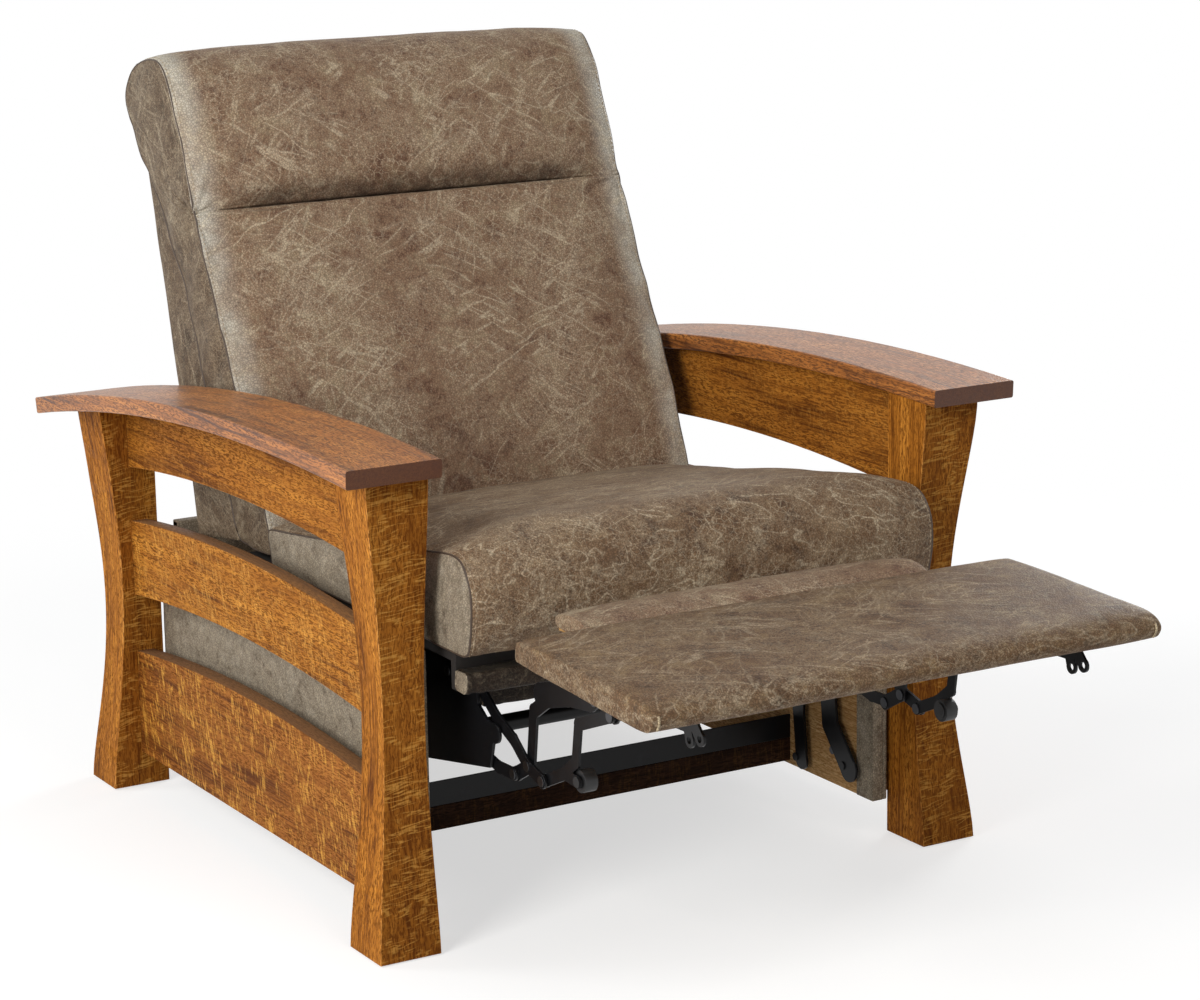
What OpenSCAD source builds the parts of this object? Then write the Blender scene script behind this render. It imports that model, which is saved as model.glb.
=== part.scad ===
// Push-back recliner: two wooden side frames, an upholstered base, and a seat, back and footrest
// carried on a steel linkage. Drawn with the footrest out. Millimetres, +Z up, the chair faces -Y.

/* [Side frames] */
// Clear width between the plywood panels of the base
bay_w = 700; // [660:1:740]
// Depth over the outer faces of the posts
frame_d = 957.8; // [940:0.2:980]
// Side of the square foot of a post
post_foot = 87.3; // [80:0.1:92]
// How far the outward faces of a post draw in at its waist
post_waist = 27; // [20:0.5:32]
// Height of the waist above the floor
waist_z = 310; // [290:1:315]
// How far the rear face of a rear post draws in at its waist
rear_waist = 20; // [14:0.5:26]
// Height of the waist in the rear face of a rear post
rear_waist_z = 225; // [210:1:240]
// Gap between the leather of the base and the inner face of a post
post_gap = 6; // [3:0.5:12]
// Width of an armrest
arm_w = 131.6; // [120:0.1:145]
// Thickness of an armrest
arm_t = 24; // [18:0.5:30]
// Height of the highest point of an armrest
arm_top = 659; // [645:1:680]
// Radius of the top of an armrest, seen from the side
arm_r = 4060; // [3800:10:4600]
// Place of the highest point of an armrest, from the middle of the side frame
arm_peak_y = -280; // [-300:1:-240]
// Reach of an armrest past the front post
arm_front = 28.1; // [15:0.1:40]
// Reach of an armrest past the rear post
arm_rear = 52.1; // [30:0.1:70]
// Reach of an armrest past the outer faces of the posts
arm_out = 39.1; // [25:0.1:45]
// Rounding of the long edges of an armrest
arm_edge = 3; // [1:0.5:5]
// Thickness of the rails and slats between the posts
slat_t = 25; // [18:0.5:30]
// Set-back of the slats from the inner faces of the posts
slat_inset = 16; // [10:0.5:22]
// Radius of the arched edges of the slats
slat_r = 3485; // [3200:5:4200]
// Length of a slat that is let into a post
tenon = 20; // [16:1:30]
// Height of the underside of the upper rail at mid-length
upper_rail_z = 513; // [500:1:530]
// Height of the top of the middle slat at mid-length
middle_slat_top = 427.5; // [415:0.5:440]
// Height of the middle slat
middle_slat_h = 111.5; // [90:0.5:125]
// Height of the top of the lower slat at mid-length
lower_slat_top = 230; // [215:1:245]
// Height of the straight underside of the lower slat
lower_slat_z = 53; // [45:1:70]
// Thickness of the glide under a post
glide_t = 2; // [1:0.5:4]

/* [Base] */
// Thickness of the plywood panels of the base
panel_t = 16; // [12:0.5:20]
// Thickness of the padded leather on a base panel
cover_t = 6; // [3:0.5:8]
// Thickness of the leather where it wraps an edge
wrap_t = 2; // [1:0.5:3]
// Height of the underside of the base panels
base_z = 52; // [45:1:60]
// Place of the front end of the base panels
base_front = -400; // [-410:1:-390]
// Place of the rear face of the base
base_rear = 401; // [392:1:410]
// Thickness of the rear panel of the base
rear_t = 18; // [14:1:22]
// Depth of the cross stretcher, front to back
stretcher_d = 22; // [16:1:30]
// Height of the cross stretcher
stretcher_h = 35; // [25:1:45]
// Place of the front face of the cross stretcher
stretcher_y = -190; // [-200:1:-150]

/* [Seat] */
// Height of the underside of the seat cushion
seat_z = 397; // [392:1:405]
// Width of the seat cushion at its seams
seat_w = 704; // [680:1:708]
// Place of the front seam of the seat cushion
seat_front = -525; // [-535:1:-520]
// Height of the seat cushion at its front seam
seat_front_h = 130; // [115:1:140]
// Height of the seat cushion at its rear
seat_rear_h = 52; // [45:1:70]
// Crown of the seat cushion at mid-width
seat_crown = 26; // [10:1:32]
// Gap between a soft piece and its neighbour
soft_gap = 0.3; // [0.3:0.1:0.8]
// Height of the wooden rails of the seat frame
rail_h = 16.7; // [14:0.1:18]
// Thickness of the padded front rail
front_rail_t = 35; // [25:1:38]
// Height of the padded front rail
front_rail_h = 28; // [24:1:34]

/* [Back] */
// Lean of the back from upright
back_rake = 22; // [20:0.5:25]
// Place of the hinge of the back
hinge_y = 180; // [176:1:186]
// Drop of the hinge of the back below the seat cushion
hinge_drop = 52; // [48:1:58]
// Length of the back along its lean, from the hinge
back_len = 790; // [760:1:820]
// Width of the back where it passes between the base panels
back_w = 689; // [660:1:692]
// Extra half-width of the back above the armrests
back_spread = 5.5; // [0:0.5:8]
// Crown of the back cushion at mid-width
back_crown = 16; // [5:1:18]
// Height of the sewn crease under the head roll, along the lean
crease_w = 519; // [500:1:540]
// Fall of the top of the back at its two ends
back_fall = 11; // [0:1:16]
// Thickness of the leather panels round the rear of the back
skin_t = 3; // [2:0.5:4]

/* [Footrest] */
// Length of the footrest pad, front to back
rest_len = 318; // [300:1:330]
// Thickness of the footrest pad
rest_t = 35; // [28:1:37]
// Fall of the footrest pad towards its front
rest_tilt = 2.5; // [1:0.5:4]
// Gap between the end of the footrest pad and a post
rest_gap = 8; // [6:0.5:14]
// Gap between an end of the middle pad and its bracket
flip_gap = 12; // [11.5:0.5:30]
// Length of the middle pad, front to back
flip_len = 102; // [80:1:104]
// Thickness of the middle pad
flip_t = 26; // [20:1:28]

/* [Linkage] */
// Inner face of a side plate from the middle of the chair
plate_x = 293; // [285:0.5:300]
// Thickness of a side plate
plate_t = 4; // [3:0.5:5]
// Thickness of a link
link_t = 3.5; // [3:0.1:3.9]
// Gap between the layers of links
layer_gap = 2; // [1.9:0.1:2.4]
// Radius of the pins
pin_r = 4; // [3:0.5:4.5]
// Running clearance round a pin
pin_fit = 0.05; // [0.02:0.01:0.1]
// Clearance at the two pivots that close the loops
loop_fit = 0.3; // [0.2:0.05:0.4]
// Outer radius of the cross tube between the long links
tube_r = 9.5; // [9:0.5:11]
// Radius of the pin that the back turns on
hinge_r = 6; // [5:0.5:8]
// Radius of a roller on the footrest links
roller_r = 14.5; // [11:0.5:15]
// Width of a roller on the footrest links
roller_w = 17.5; // [10:0.5:18]

/* [Hidden] */
$fn = 48;

oak = "peru";
steel = [0.12, 0.12, 0.13];
leather = [0.44, 0.38, 0.32];
plywood = "burlywood";

// Places across the chair, from the middle outwards
bay = bay_w / 2;
cover_x = bay + panel_t + cover_t;
post_in = cover_x + post_gap;
post_x = post_in + post_foot / 2;
post_out = post_in + post_foot;
slat_x = post_in + slat_inset;
arm_in = post_out + arm_out - arm_w;

// Places along the chair and upwards
post_y = frame_d / 2 - post_foot / 2;
slat_half = frame_d / 2 - post_foot + tenon;
arm_front_y = -frame_d / 2 - arm_front;
arm_rear_y = frame_d / 2 + arm_rear;
arm_under_r = arm_r - arm_t;
arm_centre_z = arm_top - arm_r;
long_fn = 720;
base_top = seat_z - 17;
hinge_z = seat_z - hinge_drop;
deck_z = seat_z - soft_gap;
rail_z = deck_z - rail_h;

// Layers of the linkage, inner faces
plate_out = plate_x + plate_t;
layer1 = plate_x - layer_gap - link_t;
layer2 = layer1 - layer_gap - link_t;
layer3 = layer2 - layer_gap - link_t;
layer4 = layer3 - layer_gap - link_t;
head_t = layer_gap - 0.4;
head_r = pin_r + 3;
bore_r = pin_r + pin_fit;

// Pivots of the linkage with the footrest out, seen from the side. A and B lie on the side plate,
// C and D on the coupler, G, E and H carry the footrest. A to C and B to D are equal and parallel,
// and so are C to G and E to H, so both loops stay closed through the whole fold.
pivot_a = [-397.33, seat_z - 40.75];
pivot_c = pivot_a + [-158.67, -99.25];
a_to_b = [36, -20];
c_to_g = [-36.53, -10.47];
pivot_b = pivot_a + a_to_b;
pivot_d = pivot_c + a_to_b;
pivot_g = pivot_c + c_to_g;
pivot_e = pivot_c + [-161, 123];
pivot_h = pivot_e + c_to_g;

// Rear lower edge of the footrest pad, and the front of the middle pad's board
rest_y = pivot_e[0] + 47;
rest_z = pivot_e[1] + 50;
rest_half = post_in - rest_gap - 3;
flip_front = rest_y + 8;
flip_z = rest_z + 5;
flip_half = layer4 - flip_gap;
flip_board_t = 3.7;
strap_t = 2.5;

// A round soft edge: the corner p is cut back by up to d on the way to a and to b
function blend(a, p, b, d, n) =
    let (s = p + (a - p) * min(0.45, d / norm(a - p)))
    let (e = p + (b - p) * min(0.45, d / norm(b - p)))
    [for (i = [0:n]) let (t = i / n) (1 - t) * (1 - t) * s + 2 * t * (1 - t) * p + t * t * e];

// A closed soft outline from corners [y, z, blend]
function soft_ring(c, n) =
    let (m = len(c))
    let (p = [for (q = c) [q[0], q[1]]])
    [for (i = [0:m - 1]) each blend(p[(i + m - 1) % m], p[i], p[(i + 1) % m], c[i][2], n)];

// Share of the crown at s, from 0 at the seams to 1 at mid-width
function swell(s, power) = pow(max(0, 1 - pow(abs(s), power)), 0.5);

// A sewn cushion. Its outline goes over from edge at the seams to middle at mid-width, and the
// first half of the corners faces the second half. Half the width at height z is
// half + spread * rise(z), and the end panels swell out by puff.
function rise(z, low, high) = min(1, max(0, (z - low) / (high - low)));

module cushion(edge, middle, half, n, stations, power, puff, spread = 0, low = 0, high = 1) {
    rings = [for (j = [0:stations])
        let (s = sin(90 * (2 * j / stations - 1)))
        let (k = swell(s, power))
        [for (q = soft_ring([for (i = [0:len(edge) - 1]) edge[i] + (middle[i] - edge[i]) * k], n))
            [s * (half + spread * rise(q[1], low, high)), q[0], q[1]]]];
    size = len(rings[0]);
    pairs = size / 2;
    // Lines across each end panel, each with three inner points. The first and the last line of
    // the outline have none.
    rows = pairs - 2;
    panels = [for (e = [0, 1]) let (r = rings[e * stations], side = 2 * e - 1)
        [for (i = [1:rows]) let (a = r[i], b = r[size - 1 - i])
            let (full = puff * side * min(1, norm(b - a) / (4 * puff + 1)))
            [for (t = [0.25, 0.5, 0.75]) a + (b - a) * t + [full * 4 * t * (1 - t), 0, 0]]]];
    points = concat([for (r = rings) each r], [for (p = panels) for (line = p) each line]);
    first = (stations + 1) * size;
    body = [for (j = [0:stations - 1]) for (i = [0:size - 1])
        let (a = j * size + i, b = j * size + (i + 1) % size)
        each [[a, b, b + size], [a, b + size, a + size]]];
    // Index of point k on line i of end panel e, where 0 and 4 are on the outline
    function at(e, i, k) =
        k == 0 ? e * stations * size + i :
        k == 4 ? e * stations * size + size - 1 - i :
        first + e * rows * 3 + (i - 1) * 3 + k - 1;
    ends = [for (e = [0, 1])
        let (faces = concat(
            [for (k = [0:3]) [at(e, 0, 0), at(e, 1, k + 1), at(e, 1, k)]],
            [[at(e, 0, 0), at(e, 0, 4), at(e, 1, 4)]],
            [for (i = [1:rows - 1]) for (k = [0:3])
                let (a = at(e, i, k), b = at(e, i, k + 1), c = at(e, i + 1, k + 1), d = at(e, i + 1, k))
                each [[a, b, c], [a, c, d]]],
            [for (k = [0:3]) [at(e, pairs - 1, 0), at(e, rows, k), at(e, rows, k + 1)]],
            [[at(e, pairs - 1, 0), at(e, rows, 4), at(e, pairs - 1, 4)]]))
        each [for (f = faces) e == 0 ? f : [f[0], f[2], f[1]]]];
    polyhedron(points, concat(body, ends));
}

// An outline seen from the side, drawn as [y, z], made solid from x0 to x1
module side_solid(x0, x1) {
    translate([x0, 0, 0]) rotate([90, 0, 90]) linear_extrude(x1 - x0) children();
}

// A block from its low corner to its high corner
module block(low, high) {
    translate(low) cube(high - low);
}

// A round bar along X
module bar(p, x0, x1, r) {
    translate([x0, p[0], p[1]]) rotate([0, 90, 0]) cylinder(h = x1 - x0, r = r);
}

// The same piece on the right and on the left
module both() {
    children();
    mirror([1, 0, 0]) children();
}

module left() {
    mirror([1, 0, 0]) children();
}

// A flat strip along points [y, z], a little wider where it is round at its bends and ends
module strip(points, w) {
    for (i = [0:len(points) - 2]) {
        d = points[i + 1] - points[i];
        translate(points[i]) rotate(atan2(d[1], d[0])) translate([0, -w]) square([norm(d), 2 * w]);
    }
    for (p = points) {
        translate(p) circle(w + 0.6);
    }
}

// A pin from x0 to x1 with a head at each end, both heads inside that length
module rivet(p, x0, x1, r, head) {
    bar(p, x0, x1, r);
    bar(p, x0, x0 + head_t, head);
    bar(p, x1 - head_t, x1, head);
}

// A washer that fills a gap between layers
module collar(p, x0, r, head) {
    difference() {
        bar(p, x0 + 0.05, x0 + layer_gap - 0.05, head);
        bar(p, x0 - 1, x0 + layer_gap + 1, r);
    }
}

// Side frames

// Set-back of an outward face of a post at height z. It is deepest at the height low.
function waist(z, depth, low) = depth * pow(max(0, 1 - pow((z - low) / low, 2)), 1.5);

// A post is straight on its inner face and draws in on its outer one
module post_outline(inner, outer, depth, low) {
    steps = 32;
    toward = sign(inner - outer);
    polygon(concat(
        [for (i = [0:steps]) let (z = arm_top * i / steps) [outer + toward * waist(z, depth, low), z]],
        [[inner, arm_top], [inner, 0]]));
}

module arc_disc(y, top, r) {
    translate([y, top - r]) circle(r, $fn = long_fn);
}

module below_arm() {
    arc_disc(arm_peak_y, arm_top - arm_t, arm_under_r);
}

module upper_rail_outline() {
    difference() {
        intersection() {
            translate([-slat_half, upper_rail_z - 60]) square([2 * slat_half, 200]);
            below_arm();
        }
        arc_disc(-40, upper_rail_z, slat_r);
    }
}

module middle_slat_outline() {
    difference() {
        intersection() {
            translate([-slat_half, middle_slat_top - middle_slat_h - 60]) square([2 * slat_half, 260]);
            arc_disc(0, middle_slat_top, slat_r);
        }
        arc_disc(0, middle_slat_top - middle_slat_h, slat_r);
    }
}

module lower_slat_outline() {
    intersection() {
        translate([-slat_half, lower_slat_z]) square([2 * slat_half, 260]);
        arc_disc(0, lower_slat_top, slat_r);
    }
}

module upper_rail() {
    color(oak) side_solid(slat_x, slat_x + slat_t) upper_rail_outline();
}

module middle_slat() {
    color(oak) side_solid(slat_x, slat_x + slat_t) middle_slat_outline();
}

module lower_slat() {
    color(oak) difference() {
        side_solid(slat_x, slat_x + slat_t) lower_slat_outline();
        bolt_holes();
    }
}

// Front post for end = -1 and rear post for end = 1
module post(end) {
    y = end * post_y;
    color(oak) difference() {
        intersection() {
            translate([0, y, 0]) rotate([90, 0, 0]) linear_extrude(post_foot, center = true)
                post_outline(post_in, post_out, post_waist, waist_z);
            side_solid(post_in, post_out) post_outline(y - end * post_foot / 2, y + end * post_foot / 2,
                end < 0 ? post_waist : rear_waist, end < 0 ? waist_z : rear_waist_z);
            side_solid(post_in - 1, post_out + 1) below_arm();
            block([post_in - 1, y - post_foot, glide_t], [post_out + 1, y + post_foot, arm_top]);
        }
        side_solid(slat_x, slat_x + slat_t) {
            upper_rail_outline();
            middle_slat_outline();
            lower_slat_outline();
        }
    }
}

module rounded_bar(w, h, r) {
    translate([r, 0]) square([w - 2 * r, h]);
    translate([0, r]) square([w, h - 2 * r]);
    for (x = [r, w - r], y = [r, h - r]) {
        translate([x, y]) circle(r);
    }
}

module armrest() {
    start = asin((arm_front_y - arm_peak_y) / arm_r);
    end = asin((arm_rear_y - arm_peak_y) / arm_r);
    color(oak) translate([arm_in, arm_peak_y, arm_centre_z]) rotate([0, 90, 0]) rotate(180 - end)
        rotate_extrude(angle = end - start, $fn = long_fn)
            translate([arm_under_r, 0]) rounded_bar(arm_t, arm_w, arm_edge);
}

module foot_glides() {
    color("dimgray") both() for (y = [-post_y, post_y]) {
        translate([post_x, y, 0]) cylinder(h = glide_t, r = post_foot / 2 - 20);
    }
}

// Base

bolt_y = [-300, 300];
bolt_z = [base_z + 50, base_z + 110];
bolt_r = 3;
bolt_end = slat_x + slat_t - 8;

module bolt_holes() {
    for (y = bolt_y, z = bolt_z) {
        bar([y, z], bay - 1, bolt_end, bolt_r + pin_fit);
    }
}

module base_panel() {
    color(plywood) difference() {
        block([bay, base_front + 2 * wrap_t, base_z], [bay + panel_t, base_rear, base_top - wrap_t]);
        bolt_holes();
    }
}

module base_cover() {
    color(leather) difference() {
        union() {
            block([bay + panel_t, base_front, base_z], [cover_x, base_rear, base_top]);
            block([bay, base_front, base_top - wrap_t], [bay + panel_t, base_rear, base_top]);
            block([bay - wrap_t, base_front, base_z],
                [bay + panel_t, base_front + 2 * wrap_t, base_top]);
            block([bay - wrap_t, base_front, base_z], [bay, base_front + 40, base_top]);
        }
        bolt_holes();
    }
}

module rear_board() {
    color(plywood) block([-bay, base_rear - rear_t + wrap_t, base_z],
        [bay, base_rear - wrap_t, seat_z - wrap_t]);
}

module rear_cover() {
    color(leather) difference() {
        block([-bay, base_rear - rear_t, base_z], [bay, base_rear, seat_z]);
        block([-bay - 1, base_rear - rear_t + wrap_t, base_z - 1],
            [bay + 1, base_rear - wrap_t, seat_z - wrap_t]);
    }
}

stretcher_z = base_z + 6;

module front_stretcher() {
    color([0.22, 0.15, 0.11]) block([-bay, stretcher_y, stretcher_z],
        [bay, stretcher_y + stretcher_d, stretcher_z + stretcher_h]);
}

module stretcher_angle() {
    top = stretcher_z + stretcher_h;
    color(steel) {
        block([-bay, stretcher_y, top], [bay, stretcher_y + stretcher_d, top + 3]);
        block([-bay, stretcher_y, top + 3], [bay, stretcher_y + 3, top + stretcher_h]);
    }
}

// The channel that the seat unit slides in
track_z = seat_z - 142;
track_h = 40;
track_w = 17;
track_wall = 3;
track_front = base_front + 40;
track_rear = 240;
slide_fit = 0.3;
slide_travel = 90;

// Lower ends of the two plates that hang from each track
hang_low = [[-238, base_z + 21], [-356, base_z + 38]];
hang_high = [[-246, track_z - 12], [-300, track_z - 17]];
hang_bend = [[-230, track_z - 105], [-310, track_z - 110]];
hang_r = [13, 18];

module tracks() {
    color(steel) both() {
        difference() {
            block([bay - track_w, track_front, track_z], [bay, track_rear, track_z + track_h]);
            block([bay - track_w - 1, track_front - 1, track_z + track_wall],
                [bay - track_wall, track_rear + 1, track_z + track_h - track_wall]);
        }
        for (i = [0, 1]) {
            side_solid(bay - 14, bay - 10) strip([hang_high[i], hang_bend[i], hang_low[i]], hang_r[i]);
            bar(hang_low[i] + [13, 2], bay - 16, bay - 8, 6);
        }
    }
}

module side_spacers() {
    color(plywood) both() for (y = bolt_y) {
        difference() {
            block([cover_x, y - 25, bolt_z[0] - 30], [slat_x, y + 25, bolt_z[1] + 30]);
            bolt_holes();
        }
    }
}

module base_bolts() {
    color("dimgray") both() for (y = bolt_y, z = bolt_z) {
        bar([y, z], bay - 3, bolt_end - 1, bolt_r);
        bar([y, z], bay - 3, bay, 2 * bolt_r);
    }
}

// Seat unit

// The front of a side plate: its foremost point, the two ends of its lower edge and its rear end
nose = [-484, track_z + 27];
keel = [[-470, track_z - 22], [-216, track_z - 68], [-200, rail_z - 70]];
// Cross tubes between the side plates. The front one hangs low, behind the folded links.
tube_at = [[-235, track_z - 46], [-120, rail_z - 50], [120, rail_z - 50]];

// Outline of a side plate: the strip under the seat, the hinge ear and the deep front
module side_plate_outline() {
    translate([pivot_a[0] - 43, rail_z - 78]) square([hinge_y - 30 - pivot_a[0] + 43, 78]);
    translate([pivot_a[0] - 43, rail_z - 78]) square([hinge_y + 8 - pivot_a[0] + 43, 60]);
    strip([[hinge_y - 30, hinge_z], [hinge_y, hinge_z]], 20);
    strip([nose + [100, 0], nose], 12.5);
    polygon(concat([nose + [60, 40], nose], keel));
}

module side_plate() {
    color(steel) difference() {
        side_solid(plate_x, plate_out) side_plate_outline();
        bar(pivot_a, plate_x - 1, plate_out + 1, bore_r);
        bar(pivot_b, plate_x - 1, plate_out + 1, bore_r);
        bar([hinge_y, hinge_z], plate_x - 1, plate_out + 1, hinge_r + pin_fit);
    }
}

runner_front = track_front + slide_travel;
runner_rear = track_rear - 10;
runner_in = bay - track_w - 2;

module slide_runners() {
    low = track_z + track_wall + slide_fit;
    high = track_z + track_h - track_wall - slide_fit;
    color(steel) both() {
        block([runner_in, runner_front, low], [bay - track_wall - slide_fit, runner_rear, high]);
        for (y = [runner_front + 50, runner_rear - 110]) {
            block([plate_out, y, low + 5], [runner_in, y + 40, low + 9]);
            block([plate_out, y, low + 5], [plate_out + 4, y + 40, rail_z - 40]);
        }
    }
}

module cross_tubes() {
    color(steel) for (p = tube_at) {
        difference() {
            bar(p, -plate_x, plate_x, 12);
            bar(p, -plate_x - 1, plate_x + 1, 10);
        }
    }
}

deck_front = seat_front + 54;
deck_rear = hinge_y - 30;
deck_half = bay - 7;
deck_in = plate_x - 3;
// The padded front rail lies under the deck, on a strip of wood that hangs from the deck
front_rail_top = rail_z - 9;
apron_t = 12;

module seat_rails() {
    color(plywood) {
        block([-deck_half, deck_front, rail_z], [deck_half, deck_front + 40, deck_z]);
        block([-deck_half, deck_front, front_rail_top - front_rail_h],
            [deck_half, deck_front + apron_t, rail_z]);
        block([-deck_half, deck_rear - 40, rail_z], [deck_half, deck_rear, deck_z]);
        both() block([deck_in, deck_front + 40, rail_z], [deck_half, deck_rear - 40, deck_z]);
        block([-deck_in, roll_y, rail_z], [deck_in, roll_y + 40, deck_z - 2.2]);
    }
}

module seat_platform() {
    color("gray") block([-deck_in + 0.2, deck_front + 40.2, deck_z - 2],
        [deck_in - 0.2, deck_rear - 40.2, deck_z]);
}

// Corners of a plain padded bar, seen from the side
function bar_corners(y0, y1, z0, z1, d) = [
    [y1, z0, d], [(y0 + y1) / 2 + 2, z0, d], [(y0 + y1) / 2 - 2, z0, d], [y0, z0, d],
    [y0, z1, d], [(y0 + y1) / 2 - 2, z1, d], [(y0 + y1) / 2 + 2, z1, d], [y1, z1, 2]];

module front_rail() {
    y1 = deck_front - soft_gap;
    y0 = y1 - front_rail_t;
    z1 = front_rail_top;
    z0 = z1 - front_rail_h;
    color(leather) cushion(
        bar_corners(y0 + 5, y1, z0 + 3, z1 - 1, 8), bar_corners(y0, y1, z0, z1, 12),
        bay - 7, 2, 6, 8, 2);
}

roll_y = -355;
roll_z = seat_z - 112;

module lower_roll() {
    y1 = roll_y - strap_t - soft_gap;
    color(leather) cushion(
        bar_corners(y1 - 25, y1, roll_z + 2, roll_z + 42, 8),
        bar_corners(y1 - 30, y1, roll_z, roll_z + 45, 12),
        flip_half, 2, 6, 8, 2);
}

module roll_straps() {
    color(steel) both() block([170, roll_y - strap_t, roll_z + 8], [200, roll_y, deck_z - 2.2]);
}

// Corners of the seat cushion: the underside from rear to front, then the front and the top
seat_back_y = 52;

function seat_corners(bow, crown) = [
    [seat_back_y, seat_z, 6], [-100, seat_z, 40], [-300, seat_z, 40],
    [seat_front + 4, seat_z, 16], [seat_front - 8 - bow, seat_z + 48, 30],
    [seat_front - 6 - bow, seat_z + 96 + crown / 2, 30],
    [seat_front + 22, seat_z + seat_front_h + crown, 40],
    [-300, seat_z + seat_front_h * 0.79 + crown, 60],
    [-100, seat_z + seat_front_h * 0.54 + crown * 0.9, 60],
    [seat_back_y + 10, seat_z + seat_rear_h + crown * 0.5, 14]];

module seat_cushion() {
    color(leather) cushion(seat_corners(0, 0), seat_corners(14, seat_crown), seat_w / 2, 3, 22, 5, 5);
}

module plate_pins() {
    color("silver") both() {
        for (p = [pivot_a, pivot_b]) {
            rivet(p, layer1 - head_t - 0.1, plate_out + head_t, pin_r, head_r);
            collar(p, layer1 + link_t, pin_r, head_r);
        }
        rivet([hinge_y, hinge_z], bracket_x - head_t - 0.1, plate_out + head_t, hinge_r, hinge_r + 4);
        collar([hinge_y, hinge_z], plate_x - layer_gap, hinge_r, hinge_r + 4);
    }
}

// Back, drawn as if upright from its hinge and then leaned: [depth, height along the lean]

module leaned() {
    translate([0, hinge_y, hinge_z]) rotate([-back_rake, 0, 0]) children();
}

bracket_x = plate_x - layer_gap - 4;
shell_w = back_w / 2;

// Depths: the front of the cushion at its foot, the front of the frame, the frame's timber, the rear
// face where it bends, and the rear of the head roll
front_v = -131;
frame_v = -30;
frame_t = 22;
heel_v = 98;
nape_v = 6;
roll_v = 56;
// Heights: the foot of the cushion, of the frame, the bend of the rear face, the bend of the frame,
// the nape where the frame ends and the top of the leather panels
cushion_w = 14;
foot_w = 56;
heel_w = 170;
bend_w = 430;
nape_w = 585;
panel_w = 630;
// The three rails, and the bolts of the brackets
rail_w = [64, 230, 380];
rail_d = 44;
bolt_w = [110, 190];

// Corners of the back cushion: the front from the bottom to the top, then the rear back down
function back_corners(crown, sink, roll, fall) = [
    [front_v, cushion_w, 14], [front_v - 7 - crown * 0.5, cushion_w + 48, 40],
    [front_v - 1 - crown, rail_w[1] + 10, 60], [front_v + 15 - crown, rail_w[2] + 20, 50],
    [front_v + 21 - crown * 0.7, crease_w - 18, 12],
    [front_v + 26 + sink, crease_w, 4], [front_v + 20 - roll * 0.8, crease_w + 20, 14],
    [front_v + 19 - roll, crease_w + 80, 40], [front_v + 20 - roll * 0.7, crease_w + 165, 50],
    [front_v + 30, back_len - 34 - fall, 30], [front_v + 81, back_len - 14 - fall, 40],
    [roll_v - 48, back_len - 8 - fall, 30], [roll_v - 6, back_len - 34 - fall, 24],
    [roll_v, back_len - 64 - fall, 24], [roll_v - 10, back_len - 104, 20],
    [shell_rear(panel_w + 10) + 3, panel_w + 11, 6],
    [nape_v, nape_w, 8], [frame_v - soft_gap, bend_w, 1],
    [frame_v - soft_gap, bend_w - 100, 10], [frame_v - soft_gap, rail_w[1], 10],
    [frame_v - soft_gap, foot_w + 64, 10], [frame_v - soft_gap, foot_w, 8]];

// Depth of the rear face of the back at height w along the lean
function shell_rear(w) = heel_v + (w < heel_w ? (heel_w - w) * 0.2 : (heel_w - w) * 0.142);

module back_cushion() {
    color(leather) leaned() cushion(back_corners(0, 0, 0, back_fall), back_corners(back_crown, 22, 22, 0),
        back_w / 2, 2, 14, 5, 5, back_spread, 60, 190);
}

module back_sides() {
    color(leather) leaned() both() side_solid(shell_w - skin_t, shell_w)
        polygon([[frame_v, foot_w + 2], [heel_v + 14, foot_w + 36], [heel_v, heel_w],
            [shell_rear(panel_w) - 1, panel_w], [nape_v, nape_w - 4], [frame_v, bend_w]]);
}

module back_outer() {
    color(leather) leaned() side_solid(-shell_w + skin_t, shell_w - skin_t)
        polygon([[heel_v + 10, foot_w + 35], [heel_v + 14, foot_w + 36], [heel_v, heel_w],
            [shell_rear(panel_w) - 1, panel_w], [shell_rear(panel_w) - 6, panel_w - 6],
            [heel_v - 4, heel_w]]);
}

stile_in = bracket_x - 40;

module stile_outline() {
    polygon([[frame_v, foot_w + 4], [frame_v + frame_t, foot_w + 4],
        [frame_v + frame_t, bend_w - 5], [nape_v + 16, nape_w - 15], [nape_v - 5, nape_w - 25],
        [frame_v, bend_w]]);
}

module back_stiles() {
    color(plywood) leaned() both() difference() {
        side_solid(stile_in, bracket_x) stile_outline();
        for (w = bolt_w) {
            bar([bracket_v, w], bracket_x - 30, bracket_x + 1, bolt_r + pin_fit);
        }
    }
}

module back_rails() {
    color(plywood) leaned() for (w = rail_w) {
        block([-stile_in, frame_v, w], [stile_in, frame_v + frame_t, w + rail_d]);
    }
}

// The bracket runs up against the stile and is bolted to it
bracket_v = -12;

module back_brackets() {
    color(steel) leaned() both() {
        difference() {
            side_solid(bracket_x, bracket_x + 4) {
                strip([[0, 0], [0, 40], [bracket_v, 70], [bracket_v, bolt_w[1] + 10]], 15);
                circle(19);
            }
            bar([0, 0], bracket_x - 1, bracket_x + 5, hinge_r + pin_fit);
            for (w = bolt_w) {
                bar([bracket_v, w], bracket_x - 1, bracket_x + 5, bolt_r + pin_fit);
            }
        }
        for (w = bolt_w) {
            bar([bracket_v, w], bracket_x - 25, bracket_x + 7, bolt_r);
            bar([bracket_v, w], bracket_x + 4, bracket_x + 7, 2 * bolt_r);
        }
    }
}

// Linkage

module long_link() {
    color(steel) difference() {
        side_solid(layer1, layer1 + link_t)
            strip([pivot_a, pivot_a + [-82.67, -56.25], pivot_a + [-124.67, -74.25], pivot_c, pivot_g], 9);
        for (p = [pivot_a, pivot_c, pivot_g]) {
            bar(p, layer1 - 1, layer1 + link_t + 1, bore_r);
        }
    }
}

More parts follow.
